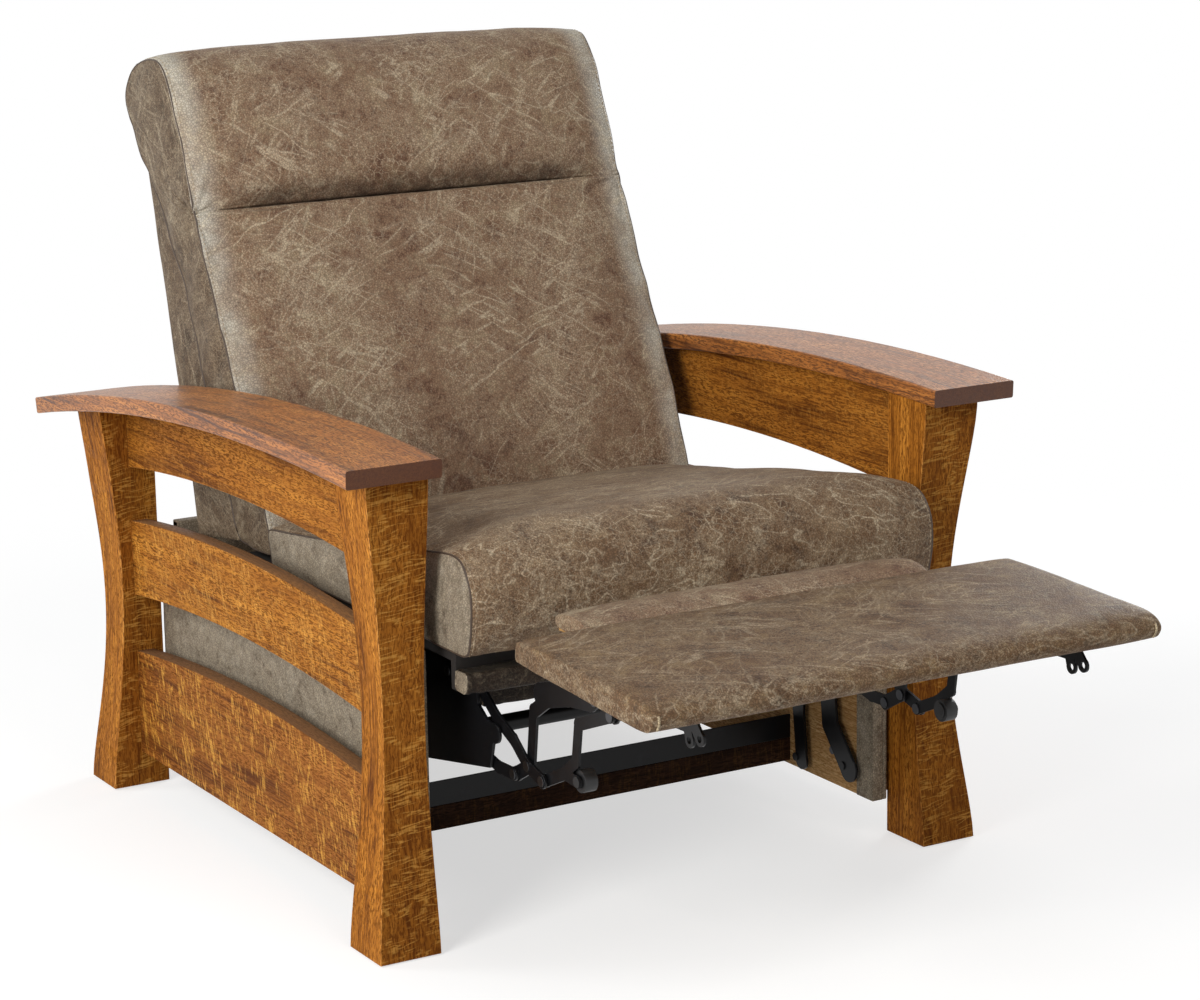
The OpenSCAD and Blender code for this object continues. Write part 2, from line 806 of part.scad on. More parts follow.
module torque_tube() {
    color(steel) difference() {
        bar(pivot_a, -layer1, layer1, tube_r);
        bar(pivot_a, -layer1 - 1, layer1 + 1, tube_r - 1.5);
    }
}

module long_link_pins() {
    color("silver") both() for (p = [pivot_c, pivot_g]) {
        rivet(p, layer2 - head_t - 0.1, layer1 + link_t + head_t, pin_r, head_r);
        collar(p, layer2 + link_t, pin_r, head_r);
    }
}

module rear_links() {
    color(steel) both() difference() {
        side_solid(layer1, layer1 + link_t)
            strip([pivot_b, pivot_b + [-23.67, -51.25], pivot_b + [-78.67, -91.25],
                pivot_b + [-118.67, -100.25], pivot_d], 8);
        for (p = [pivot_b, pivot_d]) {
            bar(p, layer1 - 1, layer1 + link_t + 1, bore_r);
        }
    }
}

module rear_link_pins() {
    color("silver") both() {
        rivet(pivot_d, layer2 - head_t - 0.1, layer1 + link_t + head_t, pin_r, head_r);
        collar(pivot_d, layer2 + link_t, pin_r, head_r);
    }
}

// The coupler is a strip with a wide plate in its upper arm
module coupler() {
    color(steel) difference() {
        side_solid(layer2, layer2 + link_t) {
            strip([pivot_d, pivot_c, pivot_c + [-10, 73], pivot_c + [-44, 95],
                pivot_c + [-94, 109], pivot_e], 9.5);
            strip([pivot_c + [-29, 98], pivot_c + [-84, 115], pivot_c + [-149, 123]], 16);
        }
        for (p = [pivot_c, pivot_e]) {
            bar(p, layer2 - 1, layer2 + link_t + 1, bore_r);
        }
        bar(pivot_d, layer2 - 1, layer2 + link_t + 1, pin_r + loop_fit);
    }
}

module coupler_pins() {
    color("silver") both() {
        rivet(pivot_e, layer4 - head_t - 0.1, layer2 + link_t + head_t, pin_r, head_r);
        collar(pivot_e, layer3 + link_t, pin_r, head_r);
        collar(pivot_e, layer4 + link_t, pin_r, head_r);
    }
}

roller_at = pivot_g + [-79.47, 19.47];

module j_link() {
    color(steel) difference() {
        side_solid(layer2, layer2 + link_t) {
            strip([pivot_g, pivot_g + [-47.47, 21.47], pivot_g + [-75.47, 43.47],
                pivot_g + [-83.47, 93.47], pivot_h], 8);
            strip([pivot_g + [-47.47, 21.47], roller_at], 8);
        }
        for (p = [pivot_g, roller_at]) {
            bar(p, layer2 - 1, layer2 + link_t + 1, bore_r);
        }
        bar(pivot_h, layer2 - 1, layer2 + link_t + 1, pin_r + loop_fit);
    }
}

// A roller on its pin, with a pale ring on its inner face
module rest_rollers() {
    color([0.08, 0.08, 0.08]) both() {
        difference() {
            bar(roller_at, layer2 - 1 - roller_w, layer2 - 1, roller_r);
            bar(roller_at, layer2 - 2 - roller_w, layer2 + 1, bore_r);
        }
        bar(roller_at, layer2 - 1.3 - roller_w, layer2 + link_t + 1, pin_r);
        bar(roller_at, layer2 + link_t, layer2 + link_t + 1.5, head_r);
        bar(roller_at, layer2 - 2.7 - roller_w, layer2 - 1.3 - roller_w, head_r + 3);
    }
}

// Footrest, drawn flat from its rear lower edge and then tilted: [y, z]
module on_rest() {
    translate([0, rest_y, rest_z]) rotate([rest_tilt, 0, 0]) children();
}

function to_rest(p) =
    let (d = p - [rest_y, rest_z])
    [d[0] * cos(rest_tilt) + d[1] * sin(rest_tilt), d[1] * cos(rest_tilt) - d[0] * sin(rest_tilt)];

hook_at = -rest_len + 58;

module footrest_brackets() {
    e = to_rest(pivot_e);
    h = to_rest(pivot_h);
    color(steel) on_rest() both() {
        difference() {
            side_solid(layer3, layer3 + link_t) {
                strip([e, h, [-120, -27], [-hook_out, -18]], 10);
                translate([-hook_out, -20]) square([hook_out - 60, 20 - strap_t]);
                strip([[hook_at + 12, -14], [hook_at + 4, -36]], 8.5);
                strip([[hook_at - 4, -14], [hook_at - 18, -28]], 8.5);
            }
            bar(e, layer3 - 1, layer3 + link_t + 1, bore_r);
            bar(h, layer3 - 1, layer3 + link_t + 1, bore_r);
            bar([hook_at + 4, -36], layer3 - 1, layer3 + link_t + 1, 4.5);
            bar([hook_at - 18, -28], layer3 - 1, layer3 + link_t + 1, 4.5);
        }
        block([layer3 - 20, -hook_out, -strap_t], [layer3 + link_t, -110, 0]);
    }
}

hook_out = rest_len - 66;
board_t = 8;
board_edge = 25;

module footrest_board() {
    color(plywood) on_rest() block([-rest_half + board_edge, -rest_len + board_edge, 0],
        [rest_half - board_edge, -board_edge, board_t]);
}

// Corners of the footrest pad: the underside from rear to front, then the top back
function rest_corners(bow, crown) = [
    [bow / 2, 2, 5], [-rest_len * 0.2, 0, 20], [-rest_len * 0.6, 0, 20],
    [-rest_len * 0.9, 0, 10], [-rest_len + 3 - bow / 2, 2, 5],
    [-rest_len - bow, rest_t - 8 + crown / 3, 12], [-rest_len * 0.9, rest_t - 4 + crown * 0.8, 24],
    [-rest_len * 0.6, rest_t - 3 + crown, 40], [-rest_len * 0.2, rest_t - 4 + crown * 0.9, 30],
    [-1 + bow, rest_t - 7 + crown / 3, 10]];

module footrest_pad() {
    color(leather) on_rest() difference() {
        cushion(rest_corners(0, 0), rest_corners(4, 5), rest_half, 2, 20, 8, 3);
        block([-rest_half + board_edge - soft_gap, -rest_len + board_edge - soft_gap, -5],
            [rest_half - board_edge + soft_gap, -board_edge + soft_gap, board_t + soft_gap]);
    }
}

module bracket_pins() {
    color("silver") both() {
        rivet(pivot_h, layer3 - head_t - 0.1, layer2 + link_t + head_t, pin_r, head_r);
        collar(pivot_h, layer3 + link_t, pin_r, head_r);
    }
}

// Middle pad, which turns on the same pins as the footrest
flip_y = flip_front + 8;

module flipper_brackets() {
    color(steel) both() {
        difference() {
            side_solid(layer4, layer4 + link_t) {
                strip([pivot_e, pivot_e + [27, 15], [flip_y - 2, pivot_e[1] + 38],
                    [flip_y + 60, pivot_e[1] + 40]], 7);
                translate([flip_y + 5, pivot_e[1] + 31]) square([64, flip_z - pivot_e[1] - 35]);
            }
            bar(pivot_e, layer4 - 1, layer4 + link_t + 1, bore_r);
        }
        block([flip_half - 14, flip_y + 5, flip_z - 6.5], [layer4 + link_t, flip_y + 69, flip_z - 4]);
    }
}

module flipper_board() {
    color(plywood) block([-flip_half + 8, flip_y + 6, flip_z - 4],
        [flip_half - 8, flip_y + flip_len - 22, flip_z - soft_gap]);
}

function flip_corners(cut, thin) = [
    [flip_front + flip_len - 2 - cut, flip_z + 4, 6], [flip_front + flip_len - 40 - cut * 0.5, flip_z, 12],
    [flip_front + 28, flip_z, 12], [flip_front + 5, flip_z + 3, 5],
    [flip_front, flip_z + 13 - thin * 0.5, 8], [flip_front + 26, flip_z + flip_t - 2 - thin, 16],
    [flip_front + flip_len - 40 - cut * 0.5, flip_z + flip_t - thin, 20],
    [flip_front + flip_len - cut, flip_z + flip_t - 8 - thin, 10]];

module flipper_pad() {
    color(leather) cushion(flip_corners(16, 2), flip_corners(0, 0), flip_half - 2, 2, 16, 4, 2);
}

// The origin is on the floor under the middle of the whole chair
rest_ring = soft_ring(rest_corners(4, 5), 2);
rest_front_y = rest_y + min([for (p = rest_ring) p[0] * cos(rest_tilt) - p[1] * sin(rest_tilt)]);

// Moves the chair so that its box is centred
module placed() {
    translate([0, -(rest_front_y + arm_rear_y) / 2, 0]) children();
}

placed() left() post(-1);  // post_front_left
placed() post(-1);  // post_front_right
placed() left() post(1);  // post_rear_left
placed() post(1);  // post_rear_right
placed() left() armrest();  // armrest_left
placed() armrest();  // armrest_right
placed() left() upper_rail();  // upper_rail_left
placed() upper_rail();  // upper_rail_right
placed() left() middle_slat();  // middle_slat_left
placed() middle_slat();  // middle_slat_right
placed() left() lower_slat();  // lower_slat_left
placed() lower_slat();  // lower_slat_right
placed() left() base_panel();  // base_panel_left
placed() base_panel();  // base_panel_right
placed() left() base_cover();  // base_cover_left
placed() base_cover();  // base_cover_right
placed() rear_board();
placed() rear_cover();
placed() front_stretcher();
placed() stretcher_angle();
placed() tracks();
placed() side_spacers();
placed() foot_glides();
placed() base_bolts();
placed() left() side_plate();  // side_plate_left
placed() side_plate();  // side_plate_right
placed() slide_runners();
placed() cross_tubes();
placed() seat_rails();
placed() seat_platform();
placed() front_rail();
placed() lower_roll();
placed() roll_straps();
placed() seat_cushion();
placed() plate_pins();
placed() back_stiles();
placed() back_rails();
placed() back_brackets();
placed() back_cushion();
placed() back_sides();
placed() back_outer();
placed() left() long_link();  // long_link_left
placed() long_link();  // long_link_right
placed() torque_tube();
placed() long_link_pins();
placed() rear_links();
placed() rear_link_pins();
placed() left() coupler();  // coupler_left
placed() coupler();  // coupler_right
placed() coupler_pins();
placed() left() j_link();  // j_link_left
placed() j_link();  // j_link_right
placed() rest_rollers();
placed() footrest_brackets();
placed() footrest_board();
placed() footrest_pad();
placed() bracket_pins();
placed() flipper_brackets();
placed() flipper_board();
placed() flipper_pad();
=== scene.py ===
"""Looks of a wide push-back recliner: oak side frames, distressed leather, black steel linkage.

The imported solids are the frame. Every soft piece is made here over the solid that it replaces.
Lengths in the tables of outlines are millimetres, seen from the side as [depth, height], with the
origin on the floor between the four posts. Everything in Blender is in metres.
"""

import math

import bmesh
import bpy
import numpy as np
from bpy.props import FloatProperty, FloatVectorProperty, IntProperty, PointerProperty
from mathutils import Matrix, Vector, noise
from mathutils.bvhtree import BVHTree


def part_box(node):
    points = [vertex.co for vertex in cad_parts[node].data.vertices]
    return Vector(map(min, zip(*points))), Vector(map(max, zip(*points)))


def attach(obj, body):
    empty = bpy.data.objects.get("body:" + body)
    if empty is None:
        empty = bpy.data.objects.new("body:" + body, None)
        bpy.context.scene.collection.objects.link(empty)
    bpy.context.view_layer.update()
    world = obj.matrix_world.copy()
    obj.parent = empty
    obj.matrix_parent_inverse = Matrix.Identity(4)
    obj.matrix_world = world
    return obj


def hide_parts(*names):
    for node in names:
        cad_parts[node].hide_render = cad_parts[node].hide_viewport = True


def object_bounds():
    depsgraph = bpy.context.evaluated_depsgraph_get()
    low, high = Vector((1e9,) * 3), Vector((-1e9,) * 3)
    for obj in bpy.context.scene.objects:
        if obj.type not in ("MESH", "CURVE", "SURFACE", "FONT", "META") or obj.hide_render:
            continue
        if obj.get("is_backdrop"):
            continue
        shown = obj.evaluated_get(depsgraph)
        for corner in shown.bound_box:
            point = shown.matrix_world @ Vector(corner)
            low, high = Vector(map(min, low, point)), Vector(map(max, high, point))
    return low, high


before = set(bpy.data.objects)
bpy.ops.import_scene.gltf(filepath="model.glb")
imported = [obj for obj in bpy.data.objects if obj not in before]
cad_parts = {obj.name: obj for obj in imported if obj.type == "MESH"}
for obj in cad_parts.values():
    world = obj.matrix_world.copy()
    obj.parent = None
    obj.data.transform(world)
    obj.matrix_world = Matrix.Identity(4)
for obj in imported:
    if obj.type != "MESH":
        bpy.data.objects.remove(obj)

bl_info = {
    "name": "Push-back recliner",
    "version": (1, 0, 0),
    "blender": (4, 5, 0),
    "location": "View3D > Sidebar > Recliner",
    "description": "Dresses the packed recliner in oak, leather and steel",
    "category": "Object",
}

MM = 0.001


def middle_of_posts():
    """Place along Y of the middle of the side frames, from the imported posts."""
    front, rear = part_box("post_front_left"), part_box("post_rear_left")
    return (front[0][1] + front[1][1] + rear[0][1] + rear[1][1]) / 4


SHIFT = middle_of_posts()

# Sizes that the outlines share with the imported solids, in millimetres and degrees
SEAT_Z = 397
SEAT_HALF = 352
SEAT_FRONT = -525
SEAT_FRONT_H = 130
SEAT_REAR_H = 52
SEAT_CROWN = 26
HINGE = (180, 345)
RAKE = 22
BACK_LEN = 790
BACK_HALF = 344.5
BACK_SPREAD = 5.5
BACK_CROWN = 16
BACK_FALL = 11
CREASE = 519
FRAME_V = -30
REST_AT = (-670.0, 430.0)
REST_TILT = 2.5
REST_LEN = 318
REST_T = 35
REST_HALF = 367
FLIP_HALF = 259
FLIP_LEN = 102
FLIP_T = 26
BAY = 350
DECK_FRONT = SEAT_FRONT + 54
RAIL_TOP = 371
RAIL_H = 28
RAIL_DEPTH = 35
ROLL_REAR = -357.8
LEATHER_GAP = 0.3

# Leather in the cloth run: mass of a point, stiffness in tension, and stiffness in bending
LEATHER_MASS = 0.35
LEATHER_STIFFNESS = 15.0
LEATHER_BENDING = 0.6

# In metres: radius of a thread and of a sewn cord, and eased edges of boards, beam, pins and rollers
THREAD_RADIUS = 0.00055
CORD_RADIUS = 0.0016
BOARD_EDGE = 0.0006
BEAM_EDGE = 0.0015
PIN_EDGE = 0.0004
ROLLER_EDGE = 0.0008

# Steps in which a corner of an outline turns
CORNER_STEPS = 5

# Camera, solved from the straight and square parts of the frames
CAMERA_AT = (-2209.1, -4025.2, 1505.1)
CAMERA_RIGHT = (0.86093, -0.50846, -0.01655)
CAMERA_UP = (0.12744, 0.18407, 0.97462)
CAMERA_AHEAD = (0.49251, 0.84118, -0.22327)
CAMERA_SENSOR = 36.0
CAMERA_LENS = 99.18

QUARTER = math.pi / 2


# Colours and sizes that a user would change

def srgb(r, g, b):
    """A screen colour from 0 to 255 as Blender's linear values."""
    parts = [c / 255 for c in (r, g, b)]
    return tuple(c / 12.92 if c <= 0.04045 else ((c + 0.055) / 1.055) ** 2.4 for c in parts)


def colour_property(name, description, rgb):
    """A colour that a user can change, given as it looks on a screen."""
    return FloatVectorProperty(name=name, description=description, default=srgb(*rgb),
                               size=3, min=0.0, max=1.0, subtype="COLOR")


class ReclinerSizes(bpy.types.PropertyGroup):
    """Sizes of the sewn and worn detail"""
    mesh_step: FloatProperty(name="Mesh step", description="Spacing of the points of the upholstery",
                             default=0.012, min=0.006, max=0.03, subtype="DISTANCE", unit="LENGTH")
    welt: FloatProperty(name="Welt radius", description="Radius of the raised seam round a cushion",
                        default=0.0014, min=0.0005, max=0.004, subtype="DISTANCE", unit="LENGTH")
    stitch: FloatProperty(name="Stitch length", description="Length of one stitch of the top seams",
                          default=0.0045, min=0.002, max=0.01, subtype="DISTANCE", unit="LENGTH")
    stitch_gap: FloatProperty(name="Stitch gap", description="Gap between two stitches",
                              default=0.0025, min=0.001, max=0.01, subtype="DISTANCE", unit="LENGTH")
    arris: FloatProperty(name="Wood arris", description="Width of the eased edges of the oak",
                         default=0.0011, min=0.0003, max=0.004, subtype="DISTANCE", unit="LENGTH")
    steel_edge: FloatProperty(name="Steel edge", description="Width of the eased edges of the steel strips",
                              default=0.0007, min=0.0002, max=0.002, subtype="DISTANCE", unit="LENGTH")
    swell: FloatProperty(name="Filling pressure", default=4.0, min=0.0, max=12.0,
                         description="Air pressure that swells the cushions in the cloth run")
    swell_cap: FloatProperty(name="Swell cap", description="How far the cloth run may move a point",
                             default=0.007, min=0.0, max=0.03, subtype="DISTANCE", unit="LENGTH")
    frames: IntProperty(name="Cloth frames", description="Frames of the cloth run", default=20, min=4, max=40)


class ReclinerColours(bpy.types.PropertyGroup):
    """Colours of the finishes"""
    leather_base: colour_property("Leather", "Main colour of the leather", (132, 104, 82))
    leather_dark: colour_property("Leather, dark", "Worn dark patches of the leather", (101, 71, 55))
    leather_light: colour_property("Leather, light", "Rubbed pale patches of the leather", (152, 130, 104))
    leather_vein: colour_property("Leather creases", "Fine pale creases of the leather", (212, 196, 168))
    # The side leather is lighter and greyer than the face leather: a painted sheen.
    side_base: colour_property("Side leather", "Main colour of the boxed sides", (141, 129, 112))
    oak_mid: colour_property("Oak", "Main colour of the stained oak", (164, 102, 34))
    oak_dark: colour_property("Oak, dark", "Pores and late wood of the oak", (84, 43, 12))
    oak_light: colour_property("Oak, light", "Early wood of the oak", (196, 130, 50))
    oak_fleck: colour_property("Oak flecks", "Ray flecks of the quarter-sawn oak", (222, 164, 78))
    steel: colour_property("Painted steel", "Black paint of the linkage", (13, 13, 15))


# Plain geometry

def to_world(x, y, z):
    """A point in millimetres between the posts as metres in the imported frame."""
    return (x * MM, y * MM + SHIFT, z * MM)


def leaned(v, w):
    """A point of the back, drawn upright from its hinge as [depth, height], leaned to its rest."""
    c, s = math.cos(math.radians(RAKE)), math.sin(math.radians(RAKE))
    return (HINGE[0] + v * c + w * s, HINGE[1] - v * s + w * c)


def on_rest(y, z):
    """A point of the footrest, drawn flat from its rear lower edge, tilted to its rest."""
    c, s = math.cos(math.radians(REST_TILT)), math.sin(math.radians(REST_TILT))
    return (REST_AT[0] + y * c - z * s, REST_AT[1] + y * s + z * c)


def flat(y, z):
    """A point that is drawn where it stands."""
    return (y, z)


def bend_corner(a, p, b, d, n):
    """Points of a soft corner: p is cut back by up to d towards a and towards b."""
    a, p, b = np.array(a, float), np.array(p, float), np.array(b, float)
    s = p + (a - p) * min(0.45, d / np.linalg.norm(a - p))
    e = p + (b - p) * min(0.45, d / np.linalg.norm(b - p))
    return [(1 - t) ** 2 * s + 2 * t * (1 - t) * p + t * t * e for t in np.linspace(0, 1, n + 1)]


class Outline:
    """A closed soft outline whose points match from one station of a cushion to the next."""

    def __init__(self, corners, step, columns, bend):
        m = len(corners)
        self.bend, self.columns, self.m = bend, columns, m
        lengths = [math.dist(corners[i][:2], corners[(i + 1) % m][:2]) for i in range(m)]
        self.parts = [max(1, round(v / step)) for v in lengths]
        for i in range(m // 2 - 1):
            most = max(self.parts[i], self.parts[m - 2 - i])
            self.parts[i] = self.parts[m - 2 - i] = most
        self.parts[m // 2 - 1] = self.parts[m - 1] = columns
        self.first = (m // 2) * (bend + 1) + sum(self.parts[i] - 1 for i in range(m // 2 - 1))
        self.size = 2 * self.first + 2 * (columns - 1)

    def points(self, corners):
        """The points of the outline in order, with its corners eased."""
        m, out = self.m, []
        bends = [bend_corner(corners[(i - 1) % m][:2], corners[i][:2], corners[(i + 1) % m][:2],
                             corners[i][2], self.bend) for i in range(m)]
        for i in range(m):
            out += bends[i]
            s, e, k = bends[i][-1], bends[(i + 1) % m][0], self.parts[i]
            out += [s + (e - s) * j / k for j in range(1, k)]
        return out

    def partner(self, row):
        """The point on the upper side that lies across from a point of the lower side."""
        return self.first + self.columns - 1 + (self.first - 1 - row)


def crown(s, power):
    """Share of the crown at s, from 0 at the seams to 1 at mid-width."""
    return math.sqrt(max(0.0, 1 - abs(s) ** power))


def mesh_object(name, vertices, faces, materials, smooth=True):
    """A new object from points and faces, with its normals turned outwards."""
    mesh = bpy.data.meshes.new(name)
    mesh.from_pydata(vertices, [], faces)
    bm = bmesh.new()
    bm.from_mesh(mesh)
    bmesh.ops.recalc_face_normals(bm, faces=bm.faces)
    bm.to_mesh(mesh)
    bm.free()
    for m in materials:
        mesh.materials.append(m)
    mesh.polygons.foreach_set("use_smooth", [smooth] * len(mesh.polygons))
    obj = bpy.data.objects.new(name, mesh)
    bpy.context.scene.collection.objects.link(obj)
    return obj


class Cushion:
    """A boxed cushion lofted across the chair, with a grid of points on each end panel."""

    def __init__(self, edge, middle, half, power, puff, place, stations, columns, spread=None, late=None,
                 centre=0.0):
        sizes = bpy.context.scene.recliner_sizes
        self.line = Outline(middle, sizes.mesh_step / MM, columns, CORNER_STEPS)
        self.edge, self.middle, self.half, self.power = edge, middle, half, power
        self.puff, self.place, self.stations, self.columns = puff, place, stations, columns
        self.spread, self.centre = spread, centre
        # Corners that reach their middle form only at this share of the half width from the ends
        self.late = late or {}

    def reach(self, q):
        """Half width of the cushion at a point of its outline."""
        return self.half + (self.spread(q[1]) if self.spread else 0.0)

    def ring(self, s):
        """The outline at s, from -1 at one end panel to 1 at the other, in millimetres."""
        corners = []
        for i, (a, b) in enumerate(zip(self.edge, self.middle)):
            k = crown(s, self.power)
            if i in self.late:
                t = min(1.0, (1 - abs(s)) / self.late[i])
                k = t * t * (3 - 2 * t)
            corners.append([e + (m - e) * k for e, m in zip(a, b)])
        return [(self.centre + s * self.reach(q), q[0], q[1]) for q in self.line.points(corners)]

    def build(self, name, face, side):
        """Makes the object, with its end panels in the second material and its seams held."""
        line, n, c = self.line, self.line.size, self.columns
        rings = [self.ring(math.sin(math.radians(90 * (2 * j / self.stations - 1))))
                 for j in range(self.stations + 1)]
        points = [p for r in rings for p in r]
        faces, kinds = [], []
        for j in range(self.stations):
            for i in range(n):
                a, b = j * n + i, j * n + (i + 1) % n
                faces.append((a, b, b + n, a + n))
                kinds.append(0)
        for e in (0, 1):
            start, sign, r = e * self.stations * n, 2 * e - 1, rings[e * self.stations]
            rows = line.first
            inner = {}
            for i in range(1, rows - 1):
                a, b = np.array(r[i]), np.array(r[line.partner(i)])
                wide = min(1.0, np.linalg.norm(b - a) / 60)
                near = min(1.0, math.sin(math.pi * i / (rows - 1)) * 2.5)
                for k in range(1, c):
                    t = k / c
                    swell = self.puff * sign * wide * near * (4 * t * (1 - t)) ** 0.6
                    inner[i, k] = len(points)
                    points.append(tuple(a + (b - a) * t + np.array([swell, 0, 0])))

            def at(i, k):
                if k == 0:
                    return start + i
                if k == c:
                    return start + line.partner(i)
                if i == 0:
                    return start + n - k
                if i == rows - 1:
                    return start + rows - 1 + k
                return inner[i, k]

            for i in range(rows - 1):
                for k in range(c):
                    faces.append((at(i, k), at(i, k + 1), at(i + 1, k + 1), at(i + 1, k)))
                    kinds.append(1)
        placed = []
        for x, y, z in points:
            yy, zz = self.place(y, z)
            placed.append(to_world(x, yy, zz))
        obj = mesh_object(name, placed, faces, (face, side))
        obj.data.polygons.foreach_set("material_index", kinds)
        held = obj.vertex_groups.new(name="seam")
        held.add([j * n + i for j in (0, self.stations) for i in range(n)], 1.0, "REPLACE")
        return obj

    def seam(self, sign, inset=0.0):
        """The seam of an end panel, or a line of stitches at inset from it, as points in metres."""
        s = sign * (1 - inset / self.half)
        out = []
        for x, y, z in self.ring(s):
            yy, zz = self.place(y, z)
            out.append(to_world(x, yy, zz))
        return out


def swell_cloth(obj, cap=None):
    """Runs the cushion as sewn cloth under pressure, held at its seams, and applies the result."""
    sizes = bpy.context.scene.recliner_sizes
    cap = sizes.swell_cap if cap is None else cap
    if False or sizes.swell <= 0 or cap <= 0:
        return
    scene = bpy.context.scene
    before = np.empty(len(obj.data.vertices) * 3)
    obj.data.vertices.foreach_get("co", before)
    cloth = obj.modifiers.new("Swell", "CLOTH")
    c = cloth.settings
    c.quality = 5
    c.mass = LEATHER_MASS
    c.tension_stiffness = c.compression_stiffness = LEATHER_STIFFNESS
    c.shear_stiffness = LEATHER_STIFFNESS / 2
    c.bending_stiffness = LEATHER_BENDING
    c.use_pressure = True
    c.uniform_pressure_force = sizes.swell
    c.vertex_group_mass = "seam"
    c.effector_weights.gravity = 0
    cloth.collision_settings.use_self_collision = False
    cloth.point_cache.frame_start = 1
    cloth.point_cache.frame_end = sizes.frames
    for f in range(1, sizes.frames + 1):
        scene.frame_set(f)
    depsgraph = bpy.context.evaluated_depsgraph_get()
    done = obj.evaluated_get(depsgraph).to_mesh()
    after = np.empty(len(done.vertices) * 3)
    done.vertices.foreach_get("co", after)
    obj.evaluated_get(depsgraph).to_mesh_clear()
    obj.modifiers.remove(cloth)
    scene.frame_set(1)
    move = (after - before).reshape(-1, 3)
    size = np.linalg.norm(move, axis=1, keepdims=True)
    move *= np.where(size > 0, np.tanh(size / cap) * cap / np.maximum(size, 1e-9), 0)
    obj.data.vertices.foreach_set("co", (before.reshape(-1, 3) + move).ravel())
    obj.data.update()


def soften(obj):
    """One applied subdivision, so that the outline is smooth close up."""
    sub = obj.modifiers.new("Soft", "SUBSURF")
    sub.levels = sub.render_levels = 1
    sub.boundary_smooth = "PRESERVE_CORNERS"
    depsgraph = bpy.context.evaluated_depsgraph_get()
    mesh = bpy.data.meshes.new_from_object(obj.evaluated_get(depsgraph), depsgraph=depsgraph)
    old = obj.data
    obj.modifiers.clear()
    obj.data = mesh
    bpy.data.meshes.remove(old)


def displace(obj, depth_of):
    """Moves each point along its normal by depth_of(point, normal), in metres."""
    mesh = obj.data
    normals = [v.normal.copy() for v in mesh.vertices]
    for v, n in zip(mesh.vertices, normals):
        v.co = v.co + n * depth_of(v.co, n)
    mesh.update()


def lumps(p, scale, seed=0.0):
    """Soft noise from -1 to 1 that varies over 1/scale metres."""
    return noise.noise(Vector((p[0] * scale + seed, p[1] * scale - seed, p[2] * scale + 2 * seed)))


def tube(name, path, radius, material, closed=True):
    """A round cord sewn along a path."""
    sides = 8
    path = [Vector(p) for p in path]
    n = len(path)
    points, faces = [], []
    for i, p in enumerate(path):
        before = path[(i - 1) % n] if closed or i else path[i]
        after = path[(i + 1) % n] if closed or i < n - 1 else path[i]
        along = (after - before)
        along = along.normalized() if along.length > 1e-9 else Vector((0, 0, 1))
        side = along.cross(Vector((1, 0, 0)))
        side = side.normalized() if side.length > 1e-6 else Vector((0, 1, 0))
        up = along.cross(side).normalized()
        for k in range(sides):
            a = 2 * math.pi * k / sides
            points.append(p + side * radius * math.cos(a) + up * radius * math.sin(a))
    for i in range(n if closed else n - 1):
        for k in range(sides):
            a, b = i * sides + k, i * sides + (k + 1) % sides
            c, d = ((i + 1) % n) * sides + (k + 1) % sides, ((i + 1) % n) * sides + k
            faces.append((a, b, c, d))
    if not closed:
        faces += [tuple(range(sides)), tuple((n - 1) * sides + k for k in range(sides))]
    return mesh_object(name, points, faces, (material,))


def resample(path, spacing):
    """Points at even spacing along a closed path."""
    path = [Vector(p) for p in path]
    path.append(path[0])
    out, left = [path[0]], spacing
    for a, b in zip(path, path[1:]):
        length = (b - a).length
        at = left
        while at < length:
            out.append(a + (b - a) * at / length)
            at += spacing
        left = at - length
    return out


def surface_of(obj):
    """The surface of a piece, for laying seams on it."""
    mesh = obj.data
    return BVHTree.FromPolygons([v.co for v in mesh.vertices], [tuple(p.vertices) for p in mesh.polygons])


def on_surface(tree, path, lift=0.0):
    """The points of a path laid on a surface, or at lift above it."""
    out = []
    for p in path:
        hit, normal, _, _ = tree.find_nearest(Vector(p))
        out.append(hit + normal * lift if hit is not None else Vector(p))
    return out


def stitches(name, tree, path, material):
    """Short threads laid on a surface along a closed path, all in one piece."""
    sizes = bpy.context.scene.recliner_sizes
    radius, sides = THREAD_RADIUS, 6
    pitch = sizes.stitch + sizes.stitch_gap
    spots = resample(path, pitch)
    points, faces = [], []
    for a, b in zip(spots, spots[1:]):
        along = b - a
        if along.length < pitch * 0.3:
            continue
        along.normalize()
        hit, normal, _, _ = tree.find_nearest((a + b) / 2)
        if hit is None:
            continue
        side = along.cross(normal).normalized()
        start = len(points)
        # Each ring of a stitch: its place along it, its share of the radius, and its height in radii
        for t, r, h in ((-0.5, 0.35, -0.2), (-0.3, 1, 0.5), (0.3, 1, 0.5), (0.5, 0.35, -0.2)):
            centre = hit + along * t * sizes.stitch + normal * radius * h
            for k in range(sides):
                g = 2 * math.pi * k / sides
                points.append(centre + (side * math.cos(g) + normal * math.sin(g)) * radius * r)
        for ring_at in range(3):
            for k in range(sides):
                i, j = start + ring_at * sides + k, start + ring_at * sides + (k + 1) % sides
                faces.append((i, j, j + sides, i + sides))
        faces += [tuple(start + k for k in range(sides)), tuple(start + 3 * sides + k for k in range(sides))]
    return mesh_object(name, points, faces, (material,))


def finish_soft(obj, body, node, extras=()):
    """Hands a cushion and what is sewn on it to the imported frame."""
    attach(obj, body)
    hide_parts(*([node] if isinstance(node, str) else node))
    for extra in extras:
        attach(extra, body)


# Shader groups and materials

def socket(group, name, kind, value=None, out=False):
    """Adds an input or an output to a shader group."""
    s = group.interface.new_socket(name=name, in_out="OUTPUT" if out else "INPUT", socket_type=kind)
    if value is not None and not out:
        s.default_value = value
    return s


